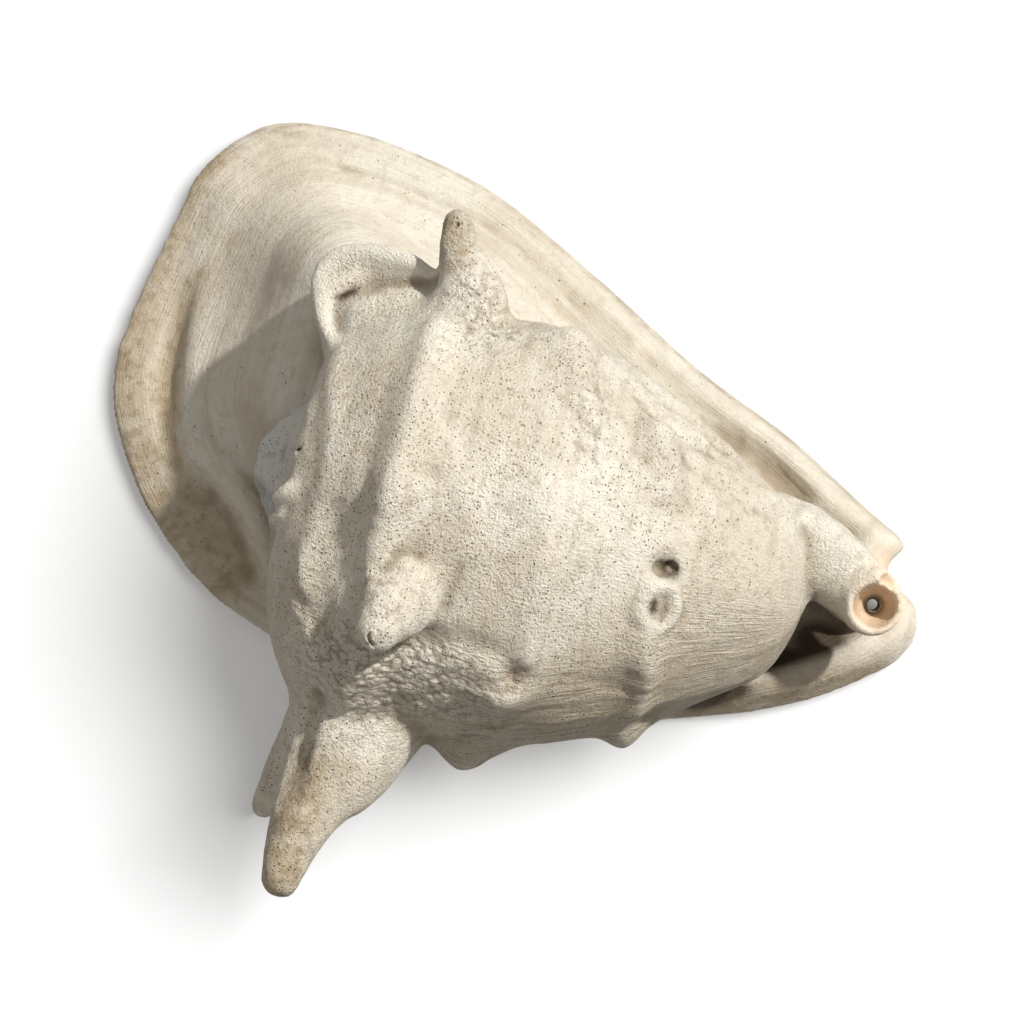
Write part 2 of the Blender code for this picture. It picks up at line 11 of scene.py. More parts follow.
import bmesh
import bpy
import numpy as np
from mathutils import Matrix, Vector


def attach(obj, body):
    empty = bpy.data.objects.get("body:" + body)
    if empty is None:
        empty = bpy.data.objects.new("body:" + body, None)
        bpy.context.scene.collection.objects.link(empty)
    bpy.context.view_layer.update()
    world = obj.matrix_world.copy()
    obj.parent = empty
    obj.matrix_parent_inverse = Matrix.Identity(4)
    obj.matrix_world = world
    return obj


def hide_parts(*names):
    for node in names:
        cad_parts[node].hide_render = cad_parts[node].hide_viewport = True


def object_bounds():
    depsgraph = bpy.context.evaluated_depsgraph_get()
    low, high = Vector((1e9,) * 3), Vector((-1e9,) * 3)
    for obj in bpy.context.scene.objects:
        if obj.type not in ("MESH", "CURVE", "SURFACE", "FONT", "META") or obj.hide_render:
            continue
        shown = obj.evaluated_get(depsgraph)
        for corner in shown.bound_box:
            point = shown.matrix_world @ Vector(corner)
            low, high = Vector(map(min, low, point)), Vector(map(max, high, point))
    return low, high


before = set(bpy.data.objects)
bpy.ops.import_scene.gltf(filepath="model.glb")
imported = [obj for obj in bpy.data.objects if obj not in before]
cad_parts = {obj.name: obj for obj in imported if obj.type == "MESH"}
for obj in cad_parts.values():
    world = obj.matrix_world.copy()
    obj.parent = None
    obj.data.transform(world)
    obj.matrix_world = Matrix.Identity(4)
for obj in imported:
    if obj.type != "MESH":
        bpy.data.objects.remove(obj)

CAD_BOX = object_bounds()
NODE = "conch_shell"
MM = 0.001
# Points closer than this, in millimetres, are one point
WELD = 0.01
# The photograph's width and height in pixels
IMAGE = 1024
# The middle of the footprint, measured from the spire's tip
ORIGIN = np.array([68.93, 2.02, 1.2])

logging.basicConfig(level=logging.INFO, format="%(message)s")
log = logging.getLogger("conch")


# Curves and fields

def smooth_path(points: object, count: int) -> np.ndarray:
    """Catmull-Rom curve: each span is the cubic that leaves and meets its ends along their neighbours' chord.

    Args:
        points: the points that the curve goes through, as rows.
        count: how many points to return.

    Returns:
        Points along the curve, evenly shared among its spans.
    """
    rows = np.asarray(points, float)
    return cubic_values(lengthened(rows), np.linspace(0, len(rows) - 1, count))


def smooth_loop(points: object, count: int) -> np.ndarray:
    """The same curve, closed on itself.

    Args:
        points: the points that the loop goes through, as rows.
        count: how many points to return.

    Returns:
        Points round the loop.
    """
    rows = np.asarray(points, float)
    padded = np.concatenate([rows[-1:], rows, rows[:2]])
    return cubic_values(padded, np.linspace(0, len(rows), count, endpoint=False))


def lengthened(rows: np.ndarray) -> np.ndarray:
    """The rows with one more at either end, as far on as the last step went."""
    return np.concatenate([2 * rows[:1] - rows[1:2], rows, 2 * rows[-1:] - rows[-2:-1]])


def cubic_values(padded: np.ndarray, place: np.ndarray) -> np.ndarray:
    """The Catmull-Rom cubic of the four rows round each place.

    Args:
        padded: the rows, with one extra row at either end.
        place: where to read the curve, in spans from the first true row.

    Returns:
        One row for each place.
    """
    span = np.clip(place.astype(int), 0, len(padded) - 4)
    t = (place - span).reshape((-1,) + (1,) * (padded.ndim - 1))
    return cubic([padded[span + k] for k in range(4)], t)


def cubic(rows: list[np.ndarray], t: np.ndarray) -> np.ndarray:
    """The cubic from b to c: half of 2b + (c - a) t + (2a - 5b + 4c - d) t^2 + (3b - 3c + d - a) t^3.

    Args:
        rows: a, b, c and d: the point before the span, its two ends and the point after it.
        t: the share of the way along the span.

    Returns:
        The curve's points.
    """
    a, b, c, d = rows
    return 0.5 * (2 * b + (c - a) * t + (2 * a - 5 * b + 4 * c - d) * t**2 + (3 * (b - c) + d - a) * t**3)


def bump(distance: np.ndarray, width: float) -> np.ndarray:
    """A soft hump: e to the power of minus the squared share of the width."""
    return np.exp(-((distance / width) ** 2))


def plateau(distance: np.ndarray, width: float) -> np.ndarray:
    """A flat-topped hump: e to the power of minus the fourth power of the share of the width."""
    return np.exp(-((distance / width) ** 4))


def step_between(value: np.ndarray, low: float, high: float) -> np.ndarray:
    """The smooth step 3t^2 - 2t^3 from 0 at low to 1 at high."""
    t = np.clip((value - low) / (high - low), 0, 1)
    return t * t * (3 - 2 * t)


def distance_to(points: np.ndarray, course: np.ndarray) -> np.ndarray:
    """Shortest distance to a line of short straight spans.

    Args:
        points: rows of three.
        course: the points that the line goes through.

    Returns:
        One distance for each point.
    """
    nearest = np.full(len(points), 1e9)
    for start, end in zip(course, course[1:]):
        along = end - start
        share = np.clip((points - start) @ along / (along @ along), 0, 1)
        nearest = np.minimum(nearest, np.linalg.norm(points - start - share[:, None] * along, axis=1))
    return nearest


def angle_gap(a: np.ndarray, b: float) -> np.ndarray:
    """The shortest way from angle b to angle a, in degrees."""
    return (a - b + 180) % 360 - 180


def lattice_value(cell: np.ndarray, seed: int) -> np.ndarray:
    """A fixed number from 0 to 1 for each whole-number cell, by mixing its coordinates.

    Args:
        cell: whole numbers, one row of three for each cell.
        seed: which of the many fields is wanted.

    Returns:
        One number for each cell.
    """
    x, y, z = (cell[..., k] * prime for k, prime in enumerate((73856093, 19349663, 83492791)))
    mixed = x ^ y ^ z ^ (seed * 2654435)
    mixed = (mixed ^ (mixed >> 13)) * 1274126177 & 0x7FFFFFFF
    return ((mixed ^ (mixed >> 16)) & 0xFFFFF) / 0xFFFFF


def cloud(points: np.ndarray, size: float, seed: int, octaves: int = 3) -> np.ndarray:
    """Value noise: the lattice's numbers, blended between a cell's eight corners, in halving octaves.

    Args:
        points: where to read the field, as rows of three.
        size: the width of one cell of the coarsest octave.
        seed: which field.
        octaves: how many octaves are added, each half as wide and half as strong.

    Returns:
        One number for each point, about -1 to 1.
    """
    total = np.zeros(points.shape[:-1])
    strength = 1.0
    for octave in range(octaves):
        place = points / (size / 2**octave)
        base = np.floor(place).astype(np.int64)
        t = place - base
        t = t * t * (3 - 2 * t)
        value = np.zeros(points.shape[:-1])
        for corner in np.ndindex(2, 2, 2):
            weight = np.prod(np.where(corner, t, 1 - t), axis=-1)
            value += weight * lattice_value(base + np.array(corner), seed + 101 * octave)
        total += strength * (2 * value - 1)
        strength *= 0.5
    return total / (2 - 2 * strength)


def cobbles(points: np.ndarray, size: float, seed: int) -> tuple[np.ndarray, np.ndarray]:
    """Cell noise: distances to the nearest and the next of one scattered seed point in every cell.

    Args:
        points: where to read the field, as rows of three.
        size: the width of a cell.
        seed: which field.

    Returns:
        The two distances, in cells.
    """
    place = points / size
    base = np.floor(place).astype(np.int64)
    first = np.full(points.shape[:-1], 9.0)
    second = np.full(points.shape[:-1], 9.0)
    for shift in np.ndindex(3, 3, 3):
        cell = base + np.array(shift) - 1
        centre = np.stack([lattice_value(cell, seed + k) for k in range(3)], axis=-1) + cell
        gap = np.linalg.norm(place - centre, axis=-1)
        second = np.minimum(second, np.maximum(first, gap))
        first = np.minimum(first, gap)
    return first, second


# Meshes

def linked(name: str, data: bpy.types.ID) -> bpy.types.Object:
    """A new object in the scene.

    Args:
        name: the object's name.
        data: its mesh, light or camera.

    Returns:
        The object.
    """
    made = bpy.data.objects.new(name, data)
    bpy.context.scene.collection.objects.link(made)
    return made


def mesh_object(name: str, points: np.ndarray, faces: list) -> bpy.types.Object:
    """An object in the scene with this mesh, its normals pointing outwards.

    Args:
        name: the object's name.
        points: the vertices, in millimetres.
        faces: the corners of each face.

    Returns:
        The object.
    """
    data = bpy.data.meshes.new(name)
    data.from_pydata(points.reshape(-1, 3).tolist(), [], faces)
    work = bmesh.new()
    work.from_mesh(data)
    bmesh.ops.remove_doubles(work, verts=work.verts, dist=WELD)
    bmesh.ops.recalc_face_normals(work, faces=work.faces)
    work.to_mesh(data)
    work.free()
    return linked(name, data)


def closed_grid(name: str, grid: np.ndarray) -> bpy.types.Object:
    """A closed mesh: rings of points joined each to the next, with the two end rings capped.

    Args:
        name: the object's name.
        grid: rings of points, as (rings, points in a ring, 3).

    Returns:
        The object.
    """
    rings, sides = grid.shape[:2]
    index = np.arange(rings * sides).reshape(rings, sides)
    after = np.roll(index, -1, axis=1)
    quads = np.stack([index[:-1], after[:-1], after[1:], index[1:]], axis=-1).reshape(-1, 4)
    faces = quads.tolist() + [index[0, ::-1].tolist(), index[-1].tolist()]
    return mesh_object(name, grid, faces)


def tube_grid(path: object, radii: object, sides: int = 32, round_tip: bool = True) -> np.ndarray:
    """A circle carried along a smooth path: path + radius * (cos u * side + sin u * up).

    Args:
        path: the points that the middle line goes through.
        radii: the radius at each of those points.
        sides: how many points a ring has.
        round_tip: whether the far end is closed by a half ball.

    Returns:
        The rings of points.
    """
    count = 10 * len(path)
    course = smooth_path(path, count)
    width = smooth_path(np.asarray(radii, float)[:, None], count)[:, 0]
    if round_tip:
        lift = np.linspace(0, np.pi / 2, 8)[1:]
        ahead = course[-1] - course[-2]
        ahead /= np.linalg.norm(ahead)
        course = np.concatenate([course, course[-1] + np.sin(lift)[:, None] * ahead * width[-1]])
        width = np.concatenate([width, np.maximum(np.cos(lift), 0.02) * width[-1]])
    along = np.gradient(course, axis=0)
    along /= np.linalg.norm(along, axis=1, keepdims=True)
    reference = np.array([0.31, 0.17, 0.93]) if abs(along[:, 2]).mean() < 0.8 else np.array([0.95, 0.2, 0.1])
    side = np.cross(along, reference)
    side /= np.linalg.norm(side, axis=1, keepdims=True)
    up = np.cross(side, along)
    u = np.linspace(0, 2 * np.pi, sides, endpoint=False)[None, :, None]
    return course[:, None] + width[:, None, None] * (np.cos(u) * side[:, None] + np.sin(u) * up[:, None])


def ball_grid(centre: object, size: object) -> np.ndarray:
    """An ellipsoid: centre + size * (sin v cos u, sin v sin u, cos v).

    Args:
        centre: its middle.
        size: its half sizes along the three axes.

    Returns:
        Rings of points from one pole to the other.
    """
    v = np.linspace(0.04, np.pi - 0.04, 14)[:, None]
    u = np.linspace(0, 2 * np.pi, 22, endpoint=False)[None, :]
    unit = np.stack([np.sin(v) * np.cos(u), np.sin(v) * np.sin(u), np.cos(v) + 0 * u], axis=-1)
    return np.asarray(centre, float) + unit * np.asarray(size, float)


def baked(thing: bpy.types.Object) -> None:
    """Replaces an object's mesh with its evaluated one and drops its modifiers.

    Args:
        thing: the object.
    """
    bpy.context.view_layer.update()
    graph = bpy.context.evaluated_depsgraph_get()
    thing.data = bpy.data.meshes.new_from_object(thing.evaluated_get(graph))
    thing.modifiers.clear()


def joined(name: str, pieces: list[bpy.types.Object]) -> bpy.types.Object:
    """One object that holds the meshes of all the pieces, which are removed.

    Args:
        name: the new object's name.
        pieces: what it is made of.

    Returns:
        The new object.
    """
    work = bmesh.new()
    for piece in pieces:
        work.from_mesh(piece.data)
        bpy.data.objects.remove(piece)
    data = bpy.data.meshes.new(name)
    work.to_mesh(data)
    work.free()
    return linked(name, data)


def fused(thing: bpy.types.Object, voxel: float, passes: int) -> None:
    """Fuses overlapping closed shapes into one even skin and softens the joins between them.

    Args:
        thing: the object whose mesh is fused.
        voxel: the size of the skin's faces.
        passes: how often each point moves halfway to its neighbours' middle.
    """
    skin = thing.modifiers.new("fuse", "REMESH")
    skin.mode = "VOXEL"
    skin.voxel_size = voxel
    blend = thing.modifiers.new("blend", "SMOOTH")
    blend.factor = 0.5
    blend.iterations = passes
    baked(thing)


def carved(thing: bpy.types.Object, cutters: list[bpy.types.Object]) -> None:
    """Takes the cutters' space out of a closed mesh, and removes the cutters.

    Args:
        thing: the object that is cut.
        cutters: closed forms.
    """
    for cutter in cutters:
        cut = thing.modifiers.new("cut", "BOOLEAN")
        cut.operation = "DIFFERENCE"
        cut.solver = "MANIFOLD"
        cut.object = cutter
    baked(thing)
    for cutter in cutters:
        bpy.data.objects.remove(cutter)


def per_vertex(data: bpy.types.Mesh, name: str) -> np.ndarray:
    """One property of a mesh's vertices.

    Args:
        data: the mesh.
        name: co for their places, normal for their outward directions.

    Returns:
        Rows of three.
    """
    flat = np.empty(len(data.vertices) * 3)
    data.vertices.foreach_get(name, flat)
    return flat.reshape(-1, 3)


def place_points(data: bpy.types.Mesh, points: np.ndarray) -> None:
    """Moves the vertices of a mesh."""
    data.vertices.foreach_set("co", points.astype(np.float32).ravel())
    data.update()


# The shell's forms

@dataclass
class Whorl:
    """The last whorl with its low spire, a surface turned round the axis with three profiles.

    Each profile is (distance along the axis, radius) from the spire's tip to the canal's root.
    """

    spire_height: float = 65.0
    canal_height: float = 44.0
    length: float = 174.0
    growth: float = 0.05
    floor: float = 7.0
    back: tuple = (
        (-8, 0), (-6, 9), (-1, 16), (1, 20), (6, 27), (9, 33), (7, 41), (14, 50), (27, 60), (41, 67.5),
        (55, 66), (78, 68), (105, 61), (127, 51), (146, 40), (160, 30), (169, 18), (174, 0),
    )
    frill: tuple = (
        (-8, 0), (-7, 9), (-2, 16), (2, 22), (6, 32), (3, 44), (-3, 56), (-2, 65), (9, 72), (38, 68),
        (55, 66), (78, 68), (105, 61), (127, 51), (146, 40), (160, 30), (169, 18), (174, 0),
    )
    lip: tuple = (
        (-8, 0), (-6, 9), (-2, 14), (1, 21), (2.5, 28), (4, 36), (7, 46), (11.5, 56), (21, 68), (40, 75),
        (57, 71), (78, 69), (105, 61), (127, 51), (146, 40), (160, 30), (169, 18), (174, 0),
    )
    # The same near the spire's tip, with its ledges left out
    tip: tuple = ((-8, 0), (-6, 9), (-1, 17), (5, 28))
    frill_angle: float = 84.0
    frill_width: float = 22.0
    lip_angle: float = -105.0
    lip_width: float = 62.0
    # Degrees round the cords' middle angle over which they fade
    cord_angle: float = -10.0
    cord_width: float = 95.0
    # How softly the underside runs out into the floor's level
    easing: float = 2.0
    # Radius under which the growth and the relief fade towards the axis
    core: float = 20.0
    # (along the axis, angle from the back, height, length, width)
    knobs: tuple = (
        (43, 5, 3, 12, 16), (44, -14, 4, 14, 12), (83, 50, 6, 10, 11), (88, -8, 2.5, 10, 11),
        (89, -59, 8, 11, 12), (78, -105, 9, 11, 12), (119, 27, 5.5, 9, 8), (127, -20, 2, 8, 9),
        (128, -48, 2.5, 9, 12), (127, -103, 7, 8, 10),
    )
    # (along the axis, height, width)
    cords: tuple = ((41, 2.0, 6.0), (62, 0.7, 5.0), (86, 1.2, 6.0), (104, 0.6, 4.0), (125, 1.2, 5.0))

    def axis_height(self, x: np.ndarray) -> np.ndarray:
        """The axis sinks towards the canal, with the 1.5th power of the way."""
        share = np.clip(np.asarray(x, float) / self.length, 0, 1)
        return self.spire_height + (self.canal_height - self.spire_height) * share**1.5

    def relief(self, x: np.ndarray, angle: np.ndarray, radius: np.ndarray) -> np.ndarray:
        """Knobs and cords: the sum of soft humps at their places.

        Args:
            x: distance along the axis.
            angle: angle from the back, in degrees.
            radius: radius of the plain surface.

        Returns:
            How far the surface stands out.
        """
        height = np.zeros(np.broadcast(x, angle).shape)
        for along, turn, tall, length, width in self.knobs:
            sideways = np.radians(angle_gap(angle, turn)) * np.maximum(radius, self.core)
            height += tall * bump(np.hypot((x - along) / length, sideways / width), 0.8)
        for along, tall, width in self.cords:
            height += tall * bump(x - along, width) * bump(angle_gap(angle, self.cord_angle), self.cord_width)
        return height

    def surface(self, rows: int, columns: int) -> np.ndarray:
        """The profiles blended by angle, turned round the axis, and flattened softly near the floor.

        Args:
            rows: points along the profile.
            columns: points round the axis.

        Returns:
            Rings of points.
        """
        plain, frill, lip = (smooth_path(p, rows)[:, None] for p in (self.back, self.frill, self.lip))
        angle = np.linspace(-180, 180, columns, endpoint=False)[None, :]
        to_frill = plateau(angle_gap(angle, self.frill_angle), self.frill_width)[..., None]
        to_lip = plateau(angle_gap(angle, self.lip_angle), self.lip_width)[..., None]
        profile = plain + (frill - plain) * to_frill + (lip - plain) * to_lip
        x, radius = profile[..., 0], np.maximum(profile[..., 1], 0)
        fade = np.clip(radius / self.core, 0, 1)
        turn = np.radians(angle)
        grown = radius * (1 - self.growth * np.sin(turn) * fade)
        radius = grown + self.relief(x, angle, radius) * fade
        z = self.axis_height(x) + radius * np.cos(turn)
        z = self.floor + np.logaddexp(0, (z - self.floor) / self.easing) * self.easing
        return np.stack([x, radius * np.sin(turn), z], axis=-1)

    def around(self, points: np.ndarray) -> tuple[np.ndarray, np.ndarray, np.ndarray]:
        """Where points lie round the axis.

        Args:
            points: rows of three.

        Returns:
            The angle from the back in degrees, the distance from the axis, and how far that is
            outside the whorl's own radius there.
        """
        rise = points[:, 2] - self.axis_height(points[:, 0])
        angle = np.degrees(np.arctan2(points[:, 1], rise))
        radius = np.hypot(points[:, 1], rise)
        outer = smooth_path(self.back, 400)
        outer = np.concatenate([self.tip, outer[np.argmax(outer[:, 1] > 50):]])
        own = np.interp(points[:, 0], outer[:, 0], outer[:, 1], left=0)
        own = own * (1 - self.growth * np.sin(np.radians(angle)))
        return angle, radius, radius - own - self.relief(points[:, 0], angle, own)


@dataclass
class Plate:
    """The shield and the lip: one broad plate with a rolled rim, a groove and a crest inside it."""

    centre: tuple = (62.0, 18.0)
    thickness: float = 4.5
    # (x, y, height of the rim's middle), round from the lip's front tip
    rim: tuple = (
        (209, 19.5, 9), (212.5, 15, 9), (213.5, 7, 7), (209, -2, 6), (199, -11, 6), (185, -21, 6),
        (167, -30, 6), (148, -37, 6), (126, -44, 6), (100, -53, 6), (72, -60, 7), (40, -60, 8),
        (4, -45, 8.5), (-24, -33, 8.5), (-50, -11, 8.5), (-66, 11, 8.5), (-74, 31, 8.5), (-75, 52, 8.5),
        (-70, 87, 8), (-63, 116, 8), (-44, 136, 7), (-16, 140, 6), (10, 137, 5), (40, 129, 5),
        (80, 108, 5), (121, 84, 5), (160, 65, 6), (189, 47, 7), (204, 38, 9), (202, 32, 11),
        (201, 27, 12), (204, 22, 11),
    )
    # Heights of the upper face at these distances in from the rim, a row for every 20 degrees
    inward: tuple = (0, 6, 14, 22, 32, 46, 66, 100)
    heights: tuple = (
        (9, 15, 18, 13, 13, 16, 30, 40), (8, 13, 15, 11, 18, 28, 40, 44), (7, 12, 15, 11, 17, 28, 42, 46),
        (7, 12, 15, 12, 17, 27, 42, 50), (7, 11, 14, 14, 18, 27, 40, 55), (7, 11, 14, 16, 19, 27, 44, 60),
        (8, 12, 14, 16, 20, 26, 45, 66), (8, 11, 13.5, 16, 24, 36, 58, 82),
        (8, 10.5, 13, 13.5, 22, 34, 54, 66), (8, 10.5, 13, 12.5, 19, 31, 52, 62),
        (8, 11, 13, 15, 20, 17, 36, 58), (9, 12, 14, 19, 13, 20, 44, 56),
        (10, 15, 16, 24, 34, 44, 50, 56), (9, 16, 22, 28, 36, 44, 50, 50), (8, 15, 22, 28, 36, 44, 46, 46),
        (7, 16, 22, 24, 30, 38, 44, 44), (6, 17, 21, 14, 9, 20, 40, 42), (6, 17, 21, 13, 10, 13, 26, 40),
    )

    def spokes(self, columns: int) -> tuple[np.ndarray, np.ndarray, np.ndarray, np.ndarray]:
        """The rim seen from the plate's centre.

        Args:
            columns: how many points of the rim to take.

        Returns:
            The rim's points, the spokes to them, the spokes' lengths and their angles in degrees.
        """
        rim = smooth_loop(self.rim, columns)
        spoke = rim[:, :2] - np.array(self.centre)
        turn = np.degrees(np.arctan2(spoke[:, 1], spoke[:, 0])) % 360
        return rim, spoke, np.linalg.norm(spoke, axis=1), turn

    def section(self, turn: np.ndarray, inward: np.ndarray) -> np.ndarray:
        """The upper face's height: cubic from row to row and from distance to distance.

        Args:
            turn: angle about the plate's centre, in degrees.
            inward: distance in from the rim.

        Returns:
            The heights.
        """
        rows = smooth_loop(self.heights, 360)
        steps = 20 * (len(self.inward) - 1) + 1
        table = smooth_path(rows.T, steps)
        distances = smooth_path(np.array(self.inward, float)[:, None], steps)[:, 0]
        reach = np.interp(inward, distances, np.arange(steps))
        low = np.clip(reach.astype(int), 0, steps - 2)
        share = reach - low
        column = turn.astype(int) % 360
        beside = (column + 1) % 360
        part = turn - np.floor(turn)
        first = table[low, column] * (1 - share) + table[low + 1, column] * share
        second = table[low, beside] * (1 - share) + table[low + 1, beside] * share
        return first * (1 - part) + second * part

    def surface(self, rings: int, columns: int) -> np.ndarray:
        """Spokes from the centre to the rim and back below, with the rim rolled by a square root.

        Args:
            rings: rings on each face.
            columns: points in a ring.

        Returns:
            Rings of points, from the middle of the upper face over the rim to the middle below.
        """
        rim, spoke, reach, turn = self.spokes(columns)
        share = (np.linspace(0, 1, rings) ** 0.7)[:, None]
        place = np.array(self.centre) + spoke[None] * share[..., None]
        inward = (1 - share) * reach[None]
        edge = rim[None, :, 2] * np.exp(-inward / 9)
        roll = np.sqrt(np.clip(inward / self.thickness, 0, 1))
        top = self.section(np.broadcast_to(turn, inward.shape), inward)
        top = edge * (1 - roll) + top * roll
        lift = np.maximum(rim[None, :, 2] - self.thickness / 2, 0)
        below = 0.6 + lift * np.exp(-((inward / 15) ** 2))
        below = edge * (1 - roll) + below * roll
        upper = np.concatenate([place, top[..., None]], axis=-1)
        lower = np.concatenate([place, below[..., None]], axis=-1)
        return np.concatenate([upper, lower[-2::-1]])

    def from_rim(self, points: np.ndarray) -> tuple[np.ndarray, np.ndarray, np.ndarray]:
        """Where points lie on the plate.

        Args:
            points: rows of three.

        Returns:
            The angle about the centre in degrees, the distance in from the rim, and the share of
            the way from the centre to the rim.
        """
        _, _, reach, turn = self.spokes(720)
        order = np.argsort(turn)
        offset = points[:, :2] - np.array(self.centre)
        angle = np.degrees(np.arctan2(offset[:, 1], offset[:, 0])) % 360
        limit = np.interp(angle, turn[order], reach[order], period=360)
        distance = np.linalg.norm(offset, axis=1)
        return angle, limit - distance, distance / limit


@dataclass
class Horns:
    """The shoulder's four horns: circles carried along bent paths, ever narrower, round at the tip."""

    paths: dict = field(default_factory=lambda: {
        "upper": (((48, 46, 90), (46.5, 60, 96), (41, 71, 101), (38.5, 79, 104)), (18, 12.5, 7, 5.5)),
        "middle": (((50, -34, 100), (51, -44, 111), (49, -52, 118), (48, -59, 123)), (20, 15, 10.5, 7.2)),
        "lower": (
            ((44, -58, 58), (40, -86, 57), (35, -102, 58), (32.5, -117, 59), (32, -129, 60)),
            (27, 19, 12.8, 9, 6.4),
        ),
        "hidden": (((36, -50, 32), (27, -72, 21), (19, -90, 13), (15, -99, 9)), (19, 12, 7.5, 4.8)),
    })

    def build(self) -> list[bpy.types.Object]:
        """One closed tapering form for each horn."""
        return [closed_grid("horn_" + name, tube_grid(*shape)) for name, shape in self.paths.items()]


@dataclass
class Frill:
    """The rolled edge of a former lip that stands out over the shield."""

    edge: tuple = (
        (38, 60, 95), (31, 65, 92.5), (21, 68.5, 89.5), (10, 69, 86), (1, 66, 83.5), (-2, 59, 82.5),
        (0, 50, 84), (4, 42.5, 86.5), (8, 37, 89), (13, 31, 90),
    )
    radii: tuple = (3.0, 3.6, 3.9, 3.9, 3.9, 3.6, 3.2, 2.8, 2.5, 2.3)
    fillet: tuple = ((38, 52, 91), (26, 59, 88), (14, 63, 82), (5, 60, 79), (3, 52, 80), (9, 42, 83))
    fillet_radii: tuple = (5.5, 5.5, 5.5, 5, 4.5, 4)

    def build(self) -> list[bpy.types.Object]:
        """A bead along the frill's edge, and the fillet between it and the whorl."""
        shapes = {"frill_edge": (self.edge, self.radii), "frill_fillet": (self.fillet, self.fillet_radii)}
        return [closed_grid(name, tube_grid(*shape, 20)) for name, shape in shapes.items()]


@dataclass
class Canal:
    """The siphonal canal: a bent spout, and the bore that runs on down to the mouth side."""

    path: tuple = (
        (140, 14, 34), (158, 20, 40), (174, 17, 43), (186, 10, 44), (193, 4, 48), (195.5, 1.5, 54),
    )
    radii: tuple = (18, 15.5, 13, 11.5, 10.4, 10.0)
    wall_path: tuple = ((140, 15, 20), (158, 23, 22), (174, 21, 22), (187, 16, 22), (196, 14, 24))
    wall_radii: tuple = (15, 13, 11.5, 10, 8.5)
    bore_path: tuple = ((196, -2, 66), (195.5, 3, 50), (195, 6.5, 39), (195.5, 11.5, 20), (196.5, 19.5, -8))
    bore_radii: tuple = (8.8, 6.8, 2.6, 2.3, 3.2)
    channel_path: tuple = ((150, 1, 1), (168, 8, 2), (181, 13, 2), (195, 16, 2))
    channel_radii: tuple = (7.0, 5.0, 4.4, 4.2)

    def build(self) -> list[bpy.types.Object]:
        """The outer form of the spout, and the wall that carries it on the shield.

        Returns:
            The two closed forms.
        """
        spout = tube_grid(self.path, self.radii, 40, round_tip=False)
        wall = tube_grid(self.wall_path, self.wall_radii)
        return [closed_grid("canal", spout), closed_grid("canal_wall", wall)]

    def cutters(self) -> list[bpy.types.Object]:
        """The forms that are cut out.

        Returns:
            The bore, and the shallow channel that joins the mouth's slit to it.
        """
        shapes = {
            "bore": (self.bore_path, self.bore_radii, 32),
            "channel": (self.channel_path, self.channel_radii, 24),
        }
        return [closed_grid(name, tube_grid(*shape, round_tip=False)) for name, shape in shapes.items()]


